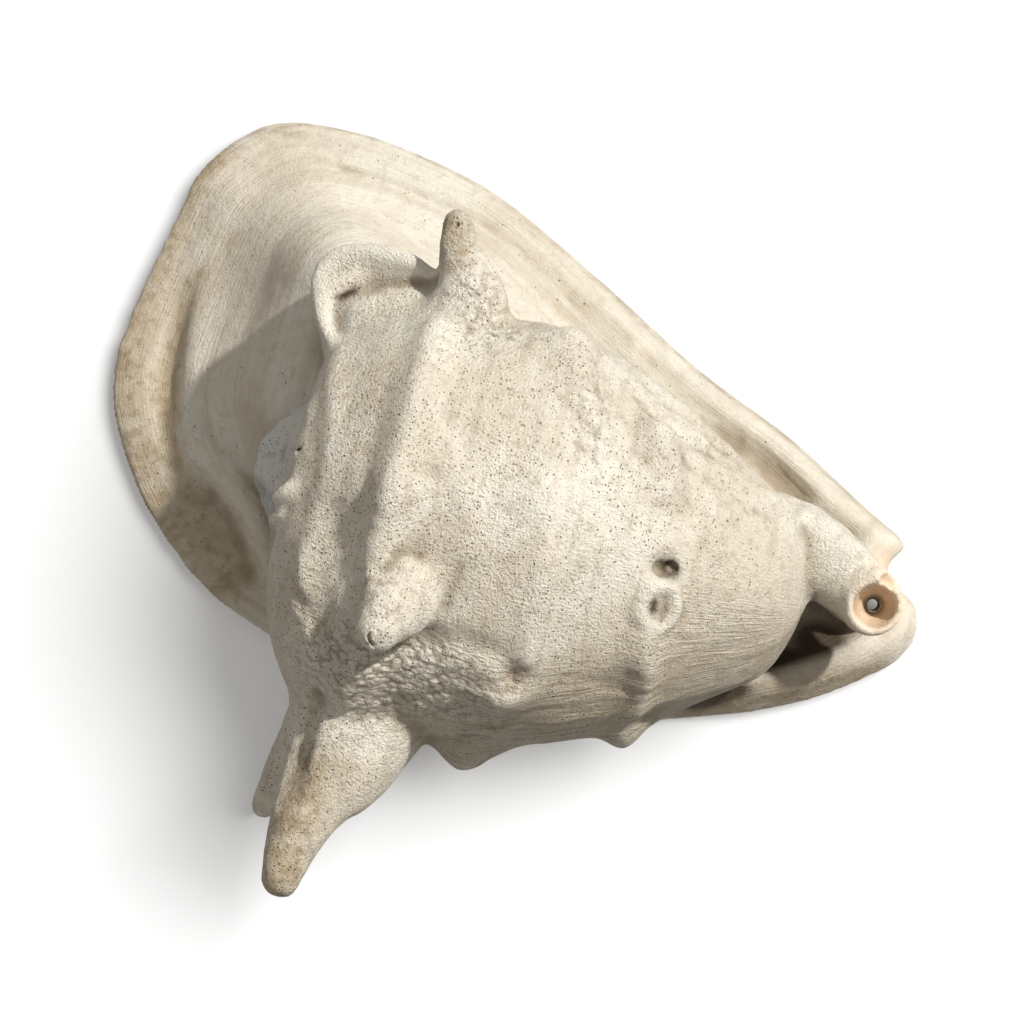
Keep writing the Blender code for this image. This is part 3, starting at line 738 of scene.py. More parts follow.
@dataclass
class GrownFolds:
    """Ridges and hollows of the grown skin, each a soft hump carried along a path."""

    # (path, height, negative for a hollow, width)
    folds: tuple = (
        # Keel between the upper horns, with the step beside it and the ramp to the spire
        (((41, 42, 114), (43, 22, 127), (45, 7, 134), (45, -4, 134), (43, -16, 135), (42, -36, 125)), 1.6, 5),
        (((31, 3, 127), (32, -10, 128), (33, -22, 126), (35, -36, 122), (38, -50, 117), (41, -60, 109)),
         -0.8, 4),
        (((12, 31, 99), (16, 10, 115), (20, -7, 119), (20, -22, 117), (17, -45, 108), (12, -50, 100)),
         1.5, 4),
        (((25, -28, 119), (27, -43, 115), (28, -57, 107)), -3, 8),
        # Groove between the whorl and the frill's rolled edge
        (((34, 62, 97), (27, 61, 94), (18, 60.5, 91), (11, 58.5, 89), (7, 54, 88), (6, 48, 88), (9, 41, 88)),
         -3.8, 3.0),
        # Hollow under the middle horn, and the knob rows with the hollows beside them
        (((47, -62, 104), (60, -57, 106), (72, -53, 107), (84, -54, 105), (90, -57, 102)), -2, 4),
        (((92, -25, 119), (93, -36, 113), (93, -47, 106), (93, -54, 102)), 3, 5),
        (((91, -60, 100), (87, -64, 99)), -5, 5),
        (((127, -34, 95), (129, -41, 90), (129, -47, 75), (128, -52, 63)), 2.4, 4),
        (((122, -48, 83), (119, -51, 81)), -1.2, 5),
        (((87, 41, 109), (91, 30, 114)), 3, 7),
        (((115, 25, 107), (120, 18, 105), (122, 10, 106)), 3.5, 6),
        (((128, 19, 99), (128, 6, 102)), -2.5, 6),
        (((131, 20, 96), (137, 9, 94), (142, -2, 92)), 1.5, 4),
        # Creases between whorl and shield
        (((109, 49, 85), (123, 43, 80), (136, 36, 75)), -3, 5),
        (((105, 79, 14), (120, 70, 14), (136, 61, 13), (150, 54, 13), (164, 43, 13)), -3.5, 5),
        (((107, 39, 98), (117, 33, 98), (125, 30, 95), (136, 30, 83)), -2.5, 3),
        (((126, 24, 100), (133, 20, 94), (141, 18, 87), (150, 17, 80), (156, 17, 75)), -2, 3),
        # Crest of the canal, and the undercut of the whorl above the lip
        (((154, 23, 72), (167, 25, 54), (179, 19, 54), (187, 16, 53), (193, 11, 54)), 2.5, 5),
        (((134, -49, 50), (144, -43, 45), (156, -35, 40)), -2.5, 7),
        (((128, -50, 34), (138, -47, 28), (150, -40, 24), (160, -32, 21)), -3.5, 5),
        # Valley and ridge along the lower horn
        (((30, -75, 79), (29, -88, 70), (30, -102, 68)), -2.5, 5),
        (((35, -80, 77), (34, -95, 72), (32, -114, 68), (30, -127, 66)), 1.5, 5),
        # Crests, valleys and the pit of the shield
        (((-48, 101, 17), (-52, 82, 16), (-50, 63, 17), (-47, 47, 18), (-43, 28, 18), (-41, 15, 16)), 3, 8),
        (((-60, 93, 14), (-60, 76, 15), (-57, 59, 15), (-53, 41, 15), (-48, 24, 14)), -1.4, 8),
        (((-34, 10, 18), (-22, 2, 19), (-13, -6, 19), (-4, -20, 19)), 3.5, 5),
        (((-29, -4, 16), (-20, -13, 17), (-10, -24, 16)), -5, 7),
        (((-38, 5, 15), (-30, -6, 15), (-24, -13, 15), (-18, -20, 15)), 2, 3),
        (((-32, 69, 22), (-25, 81, 23), (-16, 89, 24), (-4, 96, 25), (12, 99, 24)), 1.2, 4),
        (((-17, 80, 25), (0, 88, 25), (21, 93, 26)), -1.5, 4),
        (((-14, 122, 17), (14, 120, 16), (45, 111, 15), (69, 97, 14), (85, 89, 14), (95, 83, 14)), -1.5, 3),
        # The scar above the worm tube
        (((125.5, -15.5, 105), (129, -14.5, 104)), -4.5, 3.4),
    )
    # Lesser ones: the furrows of the lower horn and the ramp, the flutes of the upper horn, the nodes
    # of the middle horn and the cracks by the canal
    lesser: tuple = (
        (((20.9, -50.9, 103.5), (29.6, -61, 100.5), (34.3, -67.3, 97.7)), -1.2, 2.5),
        (((24, -36, 116), (31, -50, 111), (36, -60, 104)), 0.9, 2.5),
        (((18, -40, 110), (24, -55, 103), (27, -68, 94)), 0.8, 2.2),
        (((41, -72, 90), (34, -86, 77), (27, -104, 71)), 0.9, 2.6),
        (((36.4, 72.3, 105.8), (44, 62, 101), (49, 50, 103)), 1.0, 2.6),
        (((48.7, 68, 105.1), (54.5, 60.1, 104.4), (58, 50, 104)), -1.0, 3.0),
        (((41.7, -43, 122.5), (43, -47, 124.5)), 1.4, 2.4),
        (((47.6, -47.4, 126.1), (46, -52.9, 127.4)), 1.2, 2.4),
        (((55, -52, 121), (54, -58, 120)), 1.3, 2.4),
        (((52, -38, 122), (57, -42, 120)), 1.1, 2.6),
        (((66.1, -35, 120.4), (66, -43.6, 116.6), (61.3, -54.7, 105.7)), -2.0, 4.0),
        (((52, 4.1, 129.6), (67.2, -20.2, 125.8), (65.4, -32.3, 121.6)), 1.1, 4.0),
        (((80.1, 23.5, 121.1), (87, 0.9, 125.4), (91.3, -19.8, 122.2)), 0.9, 3.0),
        (((103.5, -54, 91.5), (109, -52, 88), (116, -50, 84)), -0.9, 2.4),
        (((-39.8, 91, 20.3), (-44.9, 83.6, 20)), -0.9, 1.6),
        (((9.4, 54.5, 89.9), (14, 57.5, 90.4)), -3.0, 3.4),
        (((162, -33, 18), (182, -23, 18), (199, -10, 17)), 1.6, 4.0),
    )

    def lift(self, points: np.ndarray, folds: tuple) -> np.ndarray:
        """The sum over the folds of height times e to the minus squared (distance to its path / width).

        Args:
            points: rows of three.
            folds: the ridges and hollows.

        Returns:
            How far each point moves outwards.
        """
        total = np.zeros(len(points))
        for path, height, width in folds:
            course = smooth_path(path, 6 * len(path))
            low, high = course.min(axis=0) - 3 * width, course.max(axis=0) + 3 * width
            near = np.nonzero(((points > low) & (points < high)).all(axis=1))[0]
            total[near] += height * bump(distance_to(points[near], course), width)
        return total

    def apply(self, data: bpy.types.Mesh, folds: tuple) -> None:
        """Moves the vertices out and in along their normals."""
        points, normals = per_vertex(data, "co"), per_vertex(data, "normal")
        place_points(data, points + normals * self.lift(points, folds)[:, None])


@dataclass
class Growths:
    """What other creatures and the sea left: a coiled worm tube, borings and broken edges."""

    worm_path: tuple = (
        (125, -21, 102), (122.5, -27, 100.5), (125, -32, 97), (130, -31, 93), (133, -25, 94),
        (130.5, -20, 98.5), (125, -21, 102),
    )
    worm_radius: float = 2.4
    ripple: float = 0.06
    # The worn white splinters that stand out beside the spire
    splinters: tuple = (
        (((11.5, -17.7, 109), (8.2, -19.4, 107), (4.6, -21.5, 103.5)), (2.4, 2.6, 1.7)),
        (((9, -25, 104), (5.5, -26.5, 100), (3.6, -27.5, 96.5)), (1.8, 1.6, 1.2)),
    )
    # (centre, half sizes) of what is worn away: by the spire, at the horn tips and in the worm's scar
    borings: tuple = (
        ((8.9, -5.7, 109.5), (1.0, 0.8, 4.0)),
        ((39.1, 77.6, 109), (0.8, 1.0, 1.8)),
        ((127.8, -14.8, 103.4), (4.6, 3.4, 4.6)),
        ((129.4, -13.2, 100.0), (2.6, 2.2, 3.0)),
        ((199, 10, 57), (4.6, 3.6, 4.8)),
    )
    # The ring-shaped scar on the middle horn: its middle, and its radius along two directions
    ring_centre: tuple = (48.4, -62.3, 127.0)
    ring_across: tuple = (0.93, 0.2, -0.3)
    ring_along: tuple = (0.1, -0.85, -0.52)
    ring_radius: float = 2.1
    ring_width: float = 0.7

    def worm(self) -> bpy.types.Object:
        """A tube carried round its coil: radius * (1 + ripple * sin of 2.4 times the station's number).

        Returns:
            The closed tube.
        """
        path = smooth_path(self.worm_path, 2 * len(self.worm_path))
        swell = 1 + self.ripple * np.sin(np.arange(len(path)) * 2.4)
        return closed_grid("worm_tube", tube_grid(path, self.worm_radius * swell, 24))

    def broken(self) -> list[bpy.types.Object]:
        """The splinters beside the spire."""
        return [closed_grid("splinter", tube_grid(*shape, 14)) for shape in self.splinters]

    def cutters(self) -> list[bpy.types.Object]:
        """What is worn away: the borings, and a ring, centre + radius * (cos u * across + sin u * along).

        Returns:
            The closed forms to cut out.
        """
        made = [closed_grid("boring", ball_grid(*shape)) for shape in self.borings]
        turn = np.linspace(0, 2 * np.pi, 9)[:, None]
        way = np.cos(turn) * np.array(self.ring_across) + np.sin(turn) * np.array(self.ring_along)
        ring = np.array(self.ring_centre) + self.ring_radius * way
        return made + [closed_grid("ring_scar", tube_grid(ring, [self.ring_width] * len(ring), 10))]


@dataclass
class Chamber:
    """The coiled hollow of the whorl, opening through the toothed slit of the mouth."""

    whorl: Whorl
    slit: tuple = ((6, -20), (45, -24), (90, -20.5), (130, -9), (165, 6), (194, 17))
    slit_half_width: float = 8.5
    slit_ends: tuple = (6.0, 167.0)
    ends: tuple = (24.0, 160.0)
    half_depth: float = 20.0
    wall: float = 5.5
    angles: tuple = (-128, -100, -65, -25, 15, 55, 95, 130, 160)
    teeth: tuple = (34, 49, 64, 79, 94, 109, 124, 139)
    tooth_size: tuple = (4.2, 4.6, 6.5)
    folds: tuple = (30, 41, 52, 63, 74, 85, 96, 107, 118, 129, 140, 151)
    fold_size: tuple = (2.6, 4.0, 6.0)
    # How far the teeth's middles stand back from the slit's edge, and their feet from the ground
    set_back: float = 1.5

    def surface(self, rows: int, columns: int) -> np.ndarray:
        """A flat loop, long in X, carried from below the slit up into the whorl and round the axis.

        Args:
            rows: stations along the coil.
            columns: points in a loop.

        Returns:
            Rings of points.
        """
        around = np.linspace(0, 2 * np.pi, columns, endpoint=False)
        stations = np.linspace(0, 1, rows)
        slit = smooth_path(self.slit, 200)
        outer_line = smooth_path(self.whorl.back, 400)
        outer_line = outer_line[np.argmax(outer_line[:, 1] > 40):]
        lows = [*self.slit_ends[:1] * 2, self.ends[0], self.ends[0] + 8]
        highs = [*self.slit_ends[1:] * 2, self.ends[1], self.ends[1] - 20]
        low = np.interp(stations, [0, 0.1, 0.3, 1], lows)
        high = np.interp(stations, [0, 0.1, 0.3, 1], highs)
        widths = [self.slit_half_width + 4, self.slit_half_width, 11, self.half_depth, 17, 6, 1]
        depth = np.interp(stations, [0, 0.08, 0.22, 0.4, 0.8, 0.97, 1], widths)
        x = (low + high)[:, None] / 2 + (high - low)[:, None] / 2 * np.cos(around)[None, :]
        slit_y = np.interp(x, slit[:, 0], slit[:, 1])
        outer = np.interp(x, outer_line[:, 0], outer_line[:, 1])
        scale = np.clip(outer / 66, 0.25, 1)
        height = self.whorl.axis_height(x)
        route = [np.stack([slit_y, np.full_like(x, -10.0)], -1), np.stack([slit_y, np.full_like(x, 7.0)], -1)]
        for turn in self.angles:
            sine, cosine = math.sin(math.radians(turn)), math.cos(math.radians(turn))
            reach = outer * (1 - self.whorl.growth * sine) - self.wall - self.half_depth * scale
            rise = np.maximum(height + reach * cosine, 14 + 8 * scale)
            route.append(np.stack([reach * sine, rise], -1))
        padded = lengthened(np.stack(route))
        last = len(route) - 1
        middle = self.read(padded, stations * last)
        along = self.read(padded, np.minimum(stations * last + 0.05, last))
        along = along - self.read(padded, np.maximum(stations * last - 0.05, 0))
        along /= np.maximum(np.linalg.norm(along, axis=-1, keepdims=True), 1e-9)
        side = np.stack([along[..., 1], -along[..., 0]], -1)
        tight = np.where(stations[:, None] > 0.15, scale, 1)
        offset = (depth[:, None] * tight * np.sin(around)[None, :])[..., None] * side
        return np.concatenate([x[..., None], middle + offset], axis=-1)

    @staticmethod
    def read(padded: np.ndarray, place: np.ndarray) -> np.ndarray:
        """Catmull-Rom between the key loops, where each station reads its own row.

        Args:
            padded: key loops for every station, with one extra at either end.
            place: each station's place among the keys.

        Returns:
            The loops' middle points.
        """
        span = np.minimum(place.astype(int), len(padded) - 4)
        t = (place - span)[:, None, None]
        rows = np.arange(len(place))
        return cubic([padded[span + k, rows] for k in range(4)], t)

    def cutter(self) -> bpy.types.Object:
        """The closed form that is cut out of the shell."""
        return closed_grid("chamber", self.surface(110, 110))

    def mouth_teeth(self) -> list[bpy.types.Object]:
        """Tall lumps on the outer lip's edge and narrow folds on the inner lip's.

        Returns:
            One closed form for each.
        """
        slit = smooth_path(self.slit, 200)
        made = []
        aside = self.slit_half_width + self.set_back
        for sign, places, size in ((-1, self.teeth, self.tooth_size), (1, self.folds, self.fold_size)):
            for place in places:
                middle = np.interp(place, slit[:, 0], slit[:, 1]) + sign * aside
                made.append(closed_grid("tooth", ball_grid((place, middle, self.set_back + size[2]), size)))
        return made


# Skin

@dataclass
class SkinDetail:
    """The fine relief of the weathered skin, and the masks that its finish reads."""

    whorl: Whorl
    plate: Plate
    # Paths and widths of the places that differ in finish
    stains_and_shade: tuple = (
        (((36, -86, 72), (34, -100, 67), (31, -124, 65)), 5.0),
        (((32, -118, 64), (31, -134, 60)), 7.0),
        (((-60, 113, 11), (-55, 120, 11)), 3.5),
        (((-40, 131, 11), (-33, 134, 11)), 3.0),
        (((-70, 40, 11), (-64, 12, 11), (-50, -8, 10)), 5.0),
        (((44, -46, 123), (49, -55, 127)), 7.0),
        (((92, 28, 113), (96, 14, 114)), 7.0),
        (((48, 58, 106), (60, 46, 105)), 10.0),
        (((74, -72, 62), (84, -66, 74)), 6.0),
        (((88, -57, 98), (94, -54, 104)), 4.0),
        # The canal's throat: brown, partly painted shade
        (((195.4, 4.5, 47), (195, 6.5, 39), (195.5, 11.5, 20)), 4.0),
        (((31, -78, 82), (30, -92, 76), (31, -108, 70)), 4.0),
        # The scar above the worm tube: painted shade
        (((125, -14, 104), (129, -17, 100)), 3.0),
    )
    crowded: tuple = (
        (((44, -46, 123), (48, -58, 127)), 9.0),
        (((87, 41, 109), (94, 22, 114)), 6.5),
        (((50, -28, 124), (64, -30, 121)), 10.0),
        (((35, -86, 74), (33, -100, 68), (31, -128, 64)), 12.0),
        (((41, 70, 104), (54, 50, 106)), 12.0),
        (((92, -36, 113), (93, -52, 106)), 7.0),
        (((28, 20, 116), (32, -10, 126), (34, -30, 122)), 12.0),
        (((115, 25, 107), (122, 10, 106)), 6.0),
        (((70, -14, 124), (80, 12, 123)), 14.0),
    )
    # Painted shade, near black, in the hollows: by the canal, over the lip, in the scar above the worm tube,
    # under the frill's end, inside the worm's coil, and in the canal's throat
    painted_hollow_shade: tuple = (
        (((172, -6, 26), (179, -2, 12), (184, -3, 14), (177, -11, 12), (166, -15, 14)), 7.0),
        (((139, -40, 20), (147, -34, 15), (158, -27, 18)), 4.0),
        (((127.5, -13, 99.5), (130.5, -14, 100.5)), 2.6),
        (((10, 56, 85), (6, 53, 85)), 1.4),
        (((126.6, -25.6, 100), (127.4, -27.6, 99)), 1.5),
        (((195, 6, 41), (195.2, 8, 33), (195.5, 11.5, 20)), 3.2),
    )
    # Brown dust, partly painted shade: the shield's left band, the lip, the shield's front and rear corners,
    # the upper horn's tip and the lower horn; on the left band and its valley, the lip and the corner below
    # the spire it is painted shade
    dust_and_shade: tuple = (
        (((-67, 92, 10), (-71, 52, 11), (-66, 34, 12), (-58, 14, 11), (-46, -6, 10), (-30, -20, 10)), 8.0),
        (((-52, 70, 14), (-52, 46, 13), (-49, 20, 12), (-38, -6, 11)), 5.0),
        (((140, -40, 16), (152, -34, 15), (168, -26, 16), (184, -19, 12), (199, -10, 9)), 8.0),
        (((-36, -18, 10), (-22, -28, 10)), 12.0),
        (((-58, 118, 10), (-63, 104, 10)), 5.0),
        (((38, 77, 106), (40, 68, 104)), 6.0),
        (((33, -96, 72), (32, -116, 68), (31, -130, 62)), 8.0),
    )
    # Where the skin is sunk but is no wall of the chamber
    outer_pits: tuple = ((((92, -61, 99), (86, -65, 98)), 6.0), (((125, -15, 103), (130, -14, 101)), 6.0))
    # The frill's roll, white with a painted highlight on its lit top, and the white worm tube and splinters
    # by the spire
    white_and_highlight_paths: tuple = (
        (Frill.edge, 5.5), (Growths.worm_path, 3.0), (Growths.splinters[0][0], 2.6),
        (Growths.splinters[1][0], 2.2),
    )
    # The canal's ragged crest, its peach-coloured mouth and the web beside it
    crest: tuple = ((160, 24, 62), (174, 22, 55), (187, 16, 54), (192, 11, 56))
    canal_mouth: tuple = (((196, -1, 60), (195.5, 6, 44), (196, 14, 16)), 9.0)
    bridge: tuple = (((196, 10, 53), (198, 20, 30), (200, 26, 16)), 6.0)
    # Narrow and wide hollows: rounds of evening out, and the depth that counts as 1
    narrow: tuple = (3, 0.5)
    wide: tuple = (22, 2.4)

    def near(self, points: np.ndarray, path: tuple, width: float) -> np.ndarray:
        """1 on a path, almost 0 at twice the width: e to the minus squared (distance / width)."""
        return bump(distance_to(points, smooth_path(path, 3 * len(path))), width)

    def marked(self, points: np.ndarray, places: tuple) -> np.ndarray:
        """The sum of the soft masks round several paths, up to 1."""
        return np.clip(1.4 * sum(self.near(points, *place) for place in places), 0, 1)

    def regions(self, points: np.ndarray, normals: np.ndarray) -> dict[str, np.ndarray]:
        """Soft masks, each from smooth steps of where a point lies on the whorl and on the plate.

        Args:
            points: rows of three.
            normals: the skin's outward directions there.

        Returns:
            Masks and coordinates by name.
        """
        x, y, z = points.T
        angle, radius, outside = self.whorl.around(points)
        turn, inward, share = self.plate.from_rim(points)
        above = z - self.plate.section(turn, np.maximum(inward, 0))
        inside = step_between(-outside, 4.8, 5.5) * step_between(z, 9, 12) * step_between(x, 20, 30)
        inside *= 1 - np.clip(sum(self.near(points, *place) for place in self.outer_pits), 0, 1)
        inside *= 1 - bump(np.hypot(x + 1, radius * 0.72), 26)
        belly = step_between(-normals[:, 2], 0.2, 0.6) * step_between(-z, -12, -7)
        belly *= step_between(inward, -4, 0)
        shield = step_between(-above, -9, -3) * (1 - inside) * step_between(outside, 1, 6)
        shield = np.maximum(shield, step_between(-z, -12, -8))
        body = (1 - shield) * (1 - inside)
        spire = bump(np.hypot(x + 1, radius * 0.72), 20) * step_between(-x, -14, -6) * step_between(z, 40, 60)
        spire *= 1 - step_between(y, 24, 36)
        horns = step_between(outside, 5, 10) * body * step_between(x, -60, 20)
        low = step_between(-angle, 40, 60) * body * (1 - horns)
        wavy = bump(np.hypot((x - 150) / 26, angle_gap(angle, -38) / 24), 0.8) * body
        beads = plateau(np.hypot((x - 55) / 34, angle_gap(angle, -64) / 15), 1.0)
        white_and_highlight = sum(self.near(points, path, width) for path, width in self.white_and_highlight_paths)
        return {
            "angle": angle, "turn": turn, "inward": inward, "share": share, "inside": inside,
            "belly": belly, "shield": shield, "body": body, "spire": spire, "horns": horns, "low": low,
            "wavy": wavy, "beads": beads, "white_and_highlight": np.clip(white_and_highlight, 0, 1),
        }

    def grown(self, points: np.ndarray, angle: np.ndarray) -> np.ndarray:
        """Coordinates that follow the growth: along the axis, and round it on a circle of one size."""
        turn = np.radians(angle)
        return np.stack([points[:, 0], 60 * np.sin(turn), 60 * np.cos(turn)], axis=-1)

    def ringed(self, r: dict[str, np.ndarray]) -> np.ndarray:
        """Coordinates that follow the rim: in from it, by distance and by share, and round on a circle.

        Args:
            r: the skin's regions.

        Returns:
            Rows of three.
        """
        turn = np.radians(r["turn"])
        across = 0.4 * r["inward"] + 90 * (1 - r["share"])
        return np.stack([across, 60 * np.cos(turn), 60 * np.sin(turn)], axis=-1)

    def relief(self, points: np.ndarray, normals: np.ndarray) -> np.ndarray:
        """Growth wrinkles, cords, beads and growth bands: noise stretched along each direction.

        Args:
            points: rows of three.
            normals: the skin's outward directions there.

        Returns:
            How far each point moves along its normal.
        """
        r = self.regions(points, normals)
        grown, ringed = self.grown(points, r["angle"]), self.ringed(r)
        calm = 1 - r["belly"]
        lumps = 0.9 * cloud(points, 17, 3, 3) + 0.3 * cloud(points, 5, 5, 2)
        sway = 3 * cloud(points, 26, 11, 2) + 1.6 * cloud(points, 9, 13, 1) * r["wavy"]
        wrinkles = cloud(grown * np.array([0.14, 1, 1]) + sway[:, None], 3.0, 21, 2)
        cords = cloud(grown * np.array([1, 0.07, 0.07]), 5.5, 31, 2)
        grains = cloud(points, 2.6, 47, 1)
        shaken = grown * np.array([0.72, 1.05, 1.05]) + 0.6 * cloud(points, 6, 43, 1)[:, None]
        near, far = cobbles(shaken, 3.6, 41)
        beads = 1.5 * np.minimum(far - near, 0.45) - 0.3
        streak = 0.14 + 0.34 * r["low"] + 0.5 * r["wavy"]
        body = 0.42 * lumps * (1 - 0.4 * r["low"]) + streak * wrinkles + 0.35 * cords * (1 - 0.6 * r["low"])
        body += r["beads"] * beads * 1.5 + 0.35 * r["horns"] * cloud(points, 4, 45, 2) + 0.16 * grains
        warp = 3 * cloud(points, 40, 51, 2)[:, None] * np.array([1, 0, 0])
        rings = cloud((ringed + warp) * np.array([1, 0.07, 0.07]), 6, 61, 2)
        steps = np.abs(cloud((ringed + 2 * warp) * np.array([0.5, 0.04, 0.04]), 6, 71, 2))
        shield = 0.28 * rings - 0.45 * steps + 0.35 * lumps
        ledges = np.abs(cloud(points, 10, 81, 2)) * 5.5 + np.abs(cloud(points, 4.5, 83, 2)) * 2.6
        height = body * r["body"] * (1 - r["spire"]) * (1 - 0.6 * r["white_and_highlight"]) + shield * r["shield"]
        height += (1.8 - ledges + 0.8 * np.round(3 * cloud(points, 13, 85, 2))) * r["spire"]
        height += 1.6 * self.near(points, self.crest, 8) * cloud(points, 7, 91, 2)
        return height * calm * (1 - r["inside"])

    def apply(self, data: bpy.types.Mesh) -> None:
        """Moves the vertices out and in by the relief."""
        points, normals = per_vertex(data, "co"), per_vertex(data, "normal")
        place_points(data, points + normals * self.relief(points, normals)[:, None])

    def hollows(self, data: bpy.types.Mesh, rounds: int, reach: float) -> np.ndarray:
        """How sunk each vertex is: its neighbours' middle, less itself, along its normal, then evened out.

        Args:
            data: the mesh.
            rounds: how often the middle is taken, which sets the width of the hollows found.
            reach: the depth in millimetres that counts as 1.

        Returns:
            Positive in hollows, negative on ridges, about -1 to 1.
        """
        points, normals = per_vertex(data, "co"), per_vertex(data, "normal")
        edges = np.empty(len(data.edges) * 2, np.int64)
        data.edges.foreach_get("vertices", edges)
        a, b = edges.reshape(-1, 2).T
        count = np.maximum(np.bincount(a, minlength=len(points)) + np.bincount(b, minlength=len(points)), 1)

        def spread(values: np.ndarray) -> np.ndarray:
            """The mean of each vertex's neighbours."""
            total = np.bincount(a, values[b], len(points)) + np.bincount(b, values[a], len(points))
            return total / count

        even = points.copy()
        for _ in range(rounds):
            even = np.stack([spread(even[:, k]) for k in range(3)], axis=-1)
        sunk = np.einsum("ij,ij->i", even - points, normals)
        return np.clip((0.5 * sunk + 0.5 * spread(sunk)) / reach, -1, 1)

    def paint(self, data: bpy.types.Mesh) -> None:
        """Stores the masks and the growth coordinates as attributes of the mesh.

        Args:
            data: the finished mesh, still in millimetres.
        """
        points, normals = per_vertex(data, "co"), per_vertex(data, "normal")
        r = self.regions(points, normals)
        edge = bump(np.maximum(r["inward"], 0), 4) * r["shield"]
        stains_and_shade = sum(self.near(points, *place) for place in self.stains_and_shade)
        crowded = np.clip(sum(self.near(points, *place) for place in self.crowded), 0, 1)
        peach = self.near(points, *self.canal_mouth) * (1 - step_between(-points[:, 0], -190, -184))
        peach = np.maximum(peach, self.near(points, *self.bridge))
        crease_shade_and_highlight, sunk = (0.5 + 0.5 * self.hollows(data, *wide) for wide in (self.narrow, self.wide))
        one, none = np.ones(len(points)), np.zeros(len(points))
        masks = {
            "mask_a": (r["body"], r["shield"], r["spire"]),
            "mask_b": (r["belly"], r["inside"], r["white_and_highlight"]),
            "mask_c": (crease_shade_and_highlight, sunk, edge),
            "mask_d": (np.clip(stains_and_shade, 0, 1), crowded, np.clip(peach, 0, 1)),
            "mask_e": (r["low"], r["wavy"], r["beads"]),
            "mask_f": (self.marked(points, self.painted_hollow_shade), self.marked(points, self.dust_and_shade), none),
        }
        for name, channels in masks.items():
            layer = data.attributes.new(name, "FLOAT_COLOR", "POINT")
            layer.data.foreach_set("color", np.stack((*channels, one), axis=-1).astype(np.float32).ravel())
        vectors = {"growth": self.grown(points, r["angle"]), "rings": self.ringed(r)}
        for name, vector in vectors.items():
            layer = data.attributes.new(name, "FLOAT_VECTOR", "POINT")
            layer.data.foreach_set("vector", vector.astype(np.float32).ravel())


# Finish

class Wire:
    """Short ways to make and join shader nodes."""

    def __init__(self, material: bpy.types.Material) -> None:
        """Holds the material's nodes and links."""
        self.nodes = material.node_tree.nodes
        self.links = material.node_tree.links

    def node(self, kind: str, inputs: dict | None = None, **settings: object) -> bpy.types.Node:
        """Makes a node, with its settings and inputs.

        Args:
            kind: the node's type.
            inputs: sockets or values by input name or number.
            settings: properties of the node.

        Returns:
            The node.
        """
        made = self.nodes.new(kind)
        for name, value in settings.items():
            setattr(made, name, value)
        for name, value in (inputs or {}).items():
            if isinstance(value, bpy.types.NodeSocket):
                self.links.new(value, made.inputs[name])
            else:
                made.inputs[name].default_value = value
        return made

    def math(self, operation: str, *values: object) -> bpy.types.NodeSocket:
        """One step of arithmetic."""
        return self.node("ShaderNodeMath", dict(enumerate(values)), operation=operation).outputs[0]

    def times(self, *values: object) -> bpy.types.NodeSocket:
        """The product of several values.

        Args:
            values: sockets or numbers.

        Returns:
            The product.
        """
        product = values[0]
        for value in values[1:]:
            product = self.math("MULTIPLY", product, value)
        return product

    def total(self, *values: object) -> bpy.types.NodeSocket:
        """The sum of several values.

        Args:
            values: sockets or numbers.

        Returns:
            The sum.
        """
        total = values[0]
        for value in values[1:]:
            total = self.math("ADD", total, value)
        return total

    def blend(self, share: object, a: object, b: object) -> bpy.types.NodeSocket:
        """A mix of two colours by a share."""
        return self.node("ShaderNodeMix", {0: share, 6: a, 7: b}, data_type="RGBA").outputs[2]

    def ramp(
        self, value: object, low: float, high: float, start: float = 0.0, end: float = 1.0,
    ) -> bpy.types.NodeSocket:
        """A smooth step of a value, from start at low to end at high."""
        inputs = {"Value": value, "From Min": low, "From Max": high, "To Min": start, "To Max": end}
        return self.node("ShaderNodeMapRange", inputs, interpolation_type="SMOOTHSTEP").outputs[0]

    def noise(self, vector: object, scale: float, detail: float, roughness: float) -> bpy.types.NodeSocket:
        """Fractal noise at the given scale."""
        inputs = {"Vector": vector, "Scale": scale, "Detail": detail, "Roughness": roughness}
        return self.node("ShaderNodeTexNoise", inputs).outputs[0]

    def stretched(self, vector: object, scale: tuple[float, float, float]) -> bpy.types.NodeSocket:
        """Coordinates stretched along each axis."""
        return self.node("ShaderNodeMapping", {"Vector": vector, "Scale": scale}).outputs[0]

    def streaks(
        self, vector: object, scale: tuple[float, float, float], detail: float, roughness: float,
    ) -> bpy.types.NodeSocket:
        """Fractal noise on stretched coordinates."""
        return self.noise(self.stretched(vector, scale), 1.0, detail, roughness)

    def channels(self, name: str) -> list[bpy.types.NodeSocket]:
        """The three numbers of a stored mask."""
        read = self.node("ShaderNodeAttribute", attribute_name=name)
        return list(self.node("ShaderNodeSeparateColor", {0: read.outputs["Color"]}).outputs)[:3]

    def vector(self, name: str) -> bpy.types.NodeSocket:
        """A stored vector."""
        return self.node("ShaderNodeAttribute", attribute_name=name).outputs["Vector"]


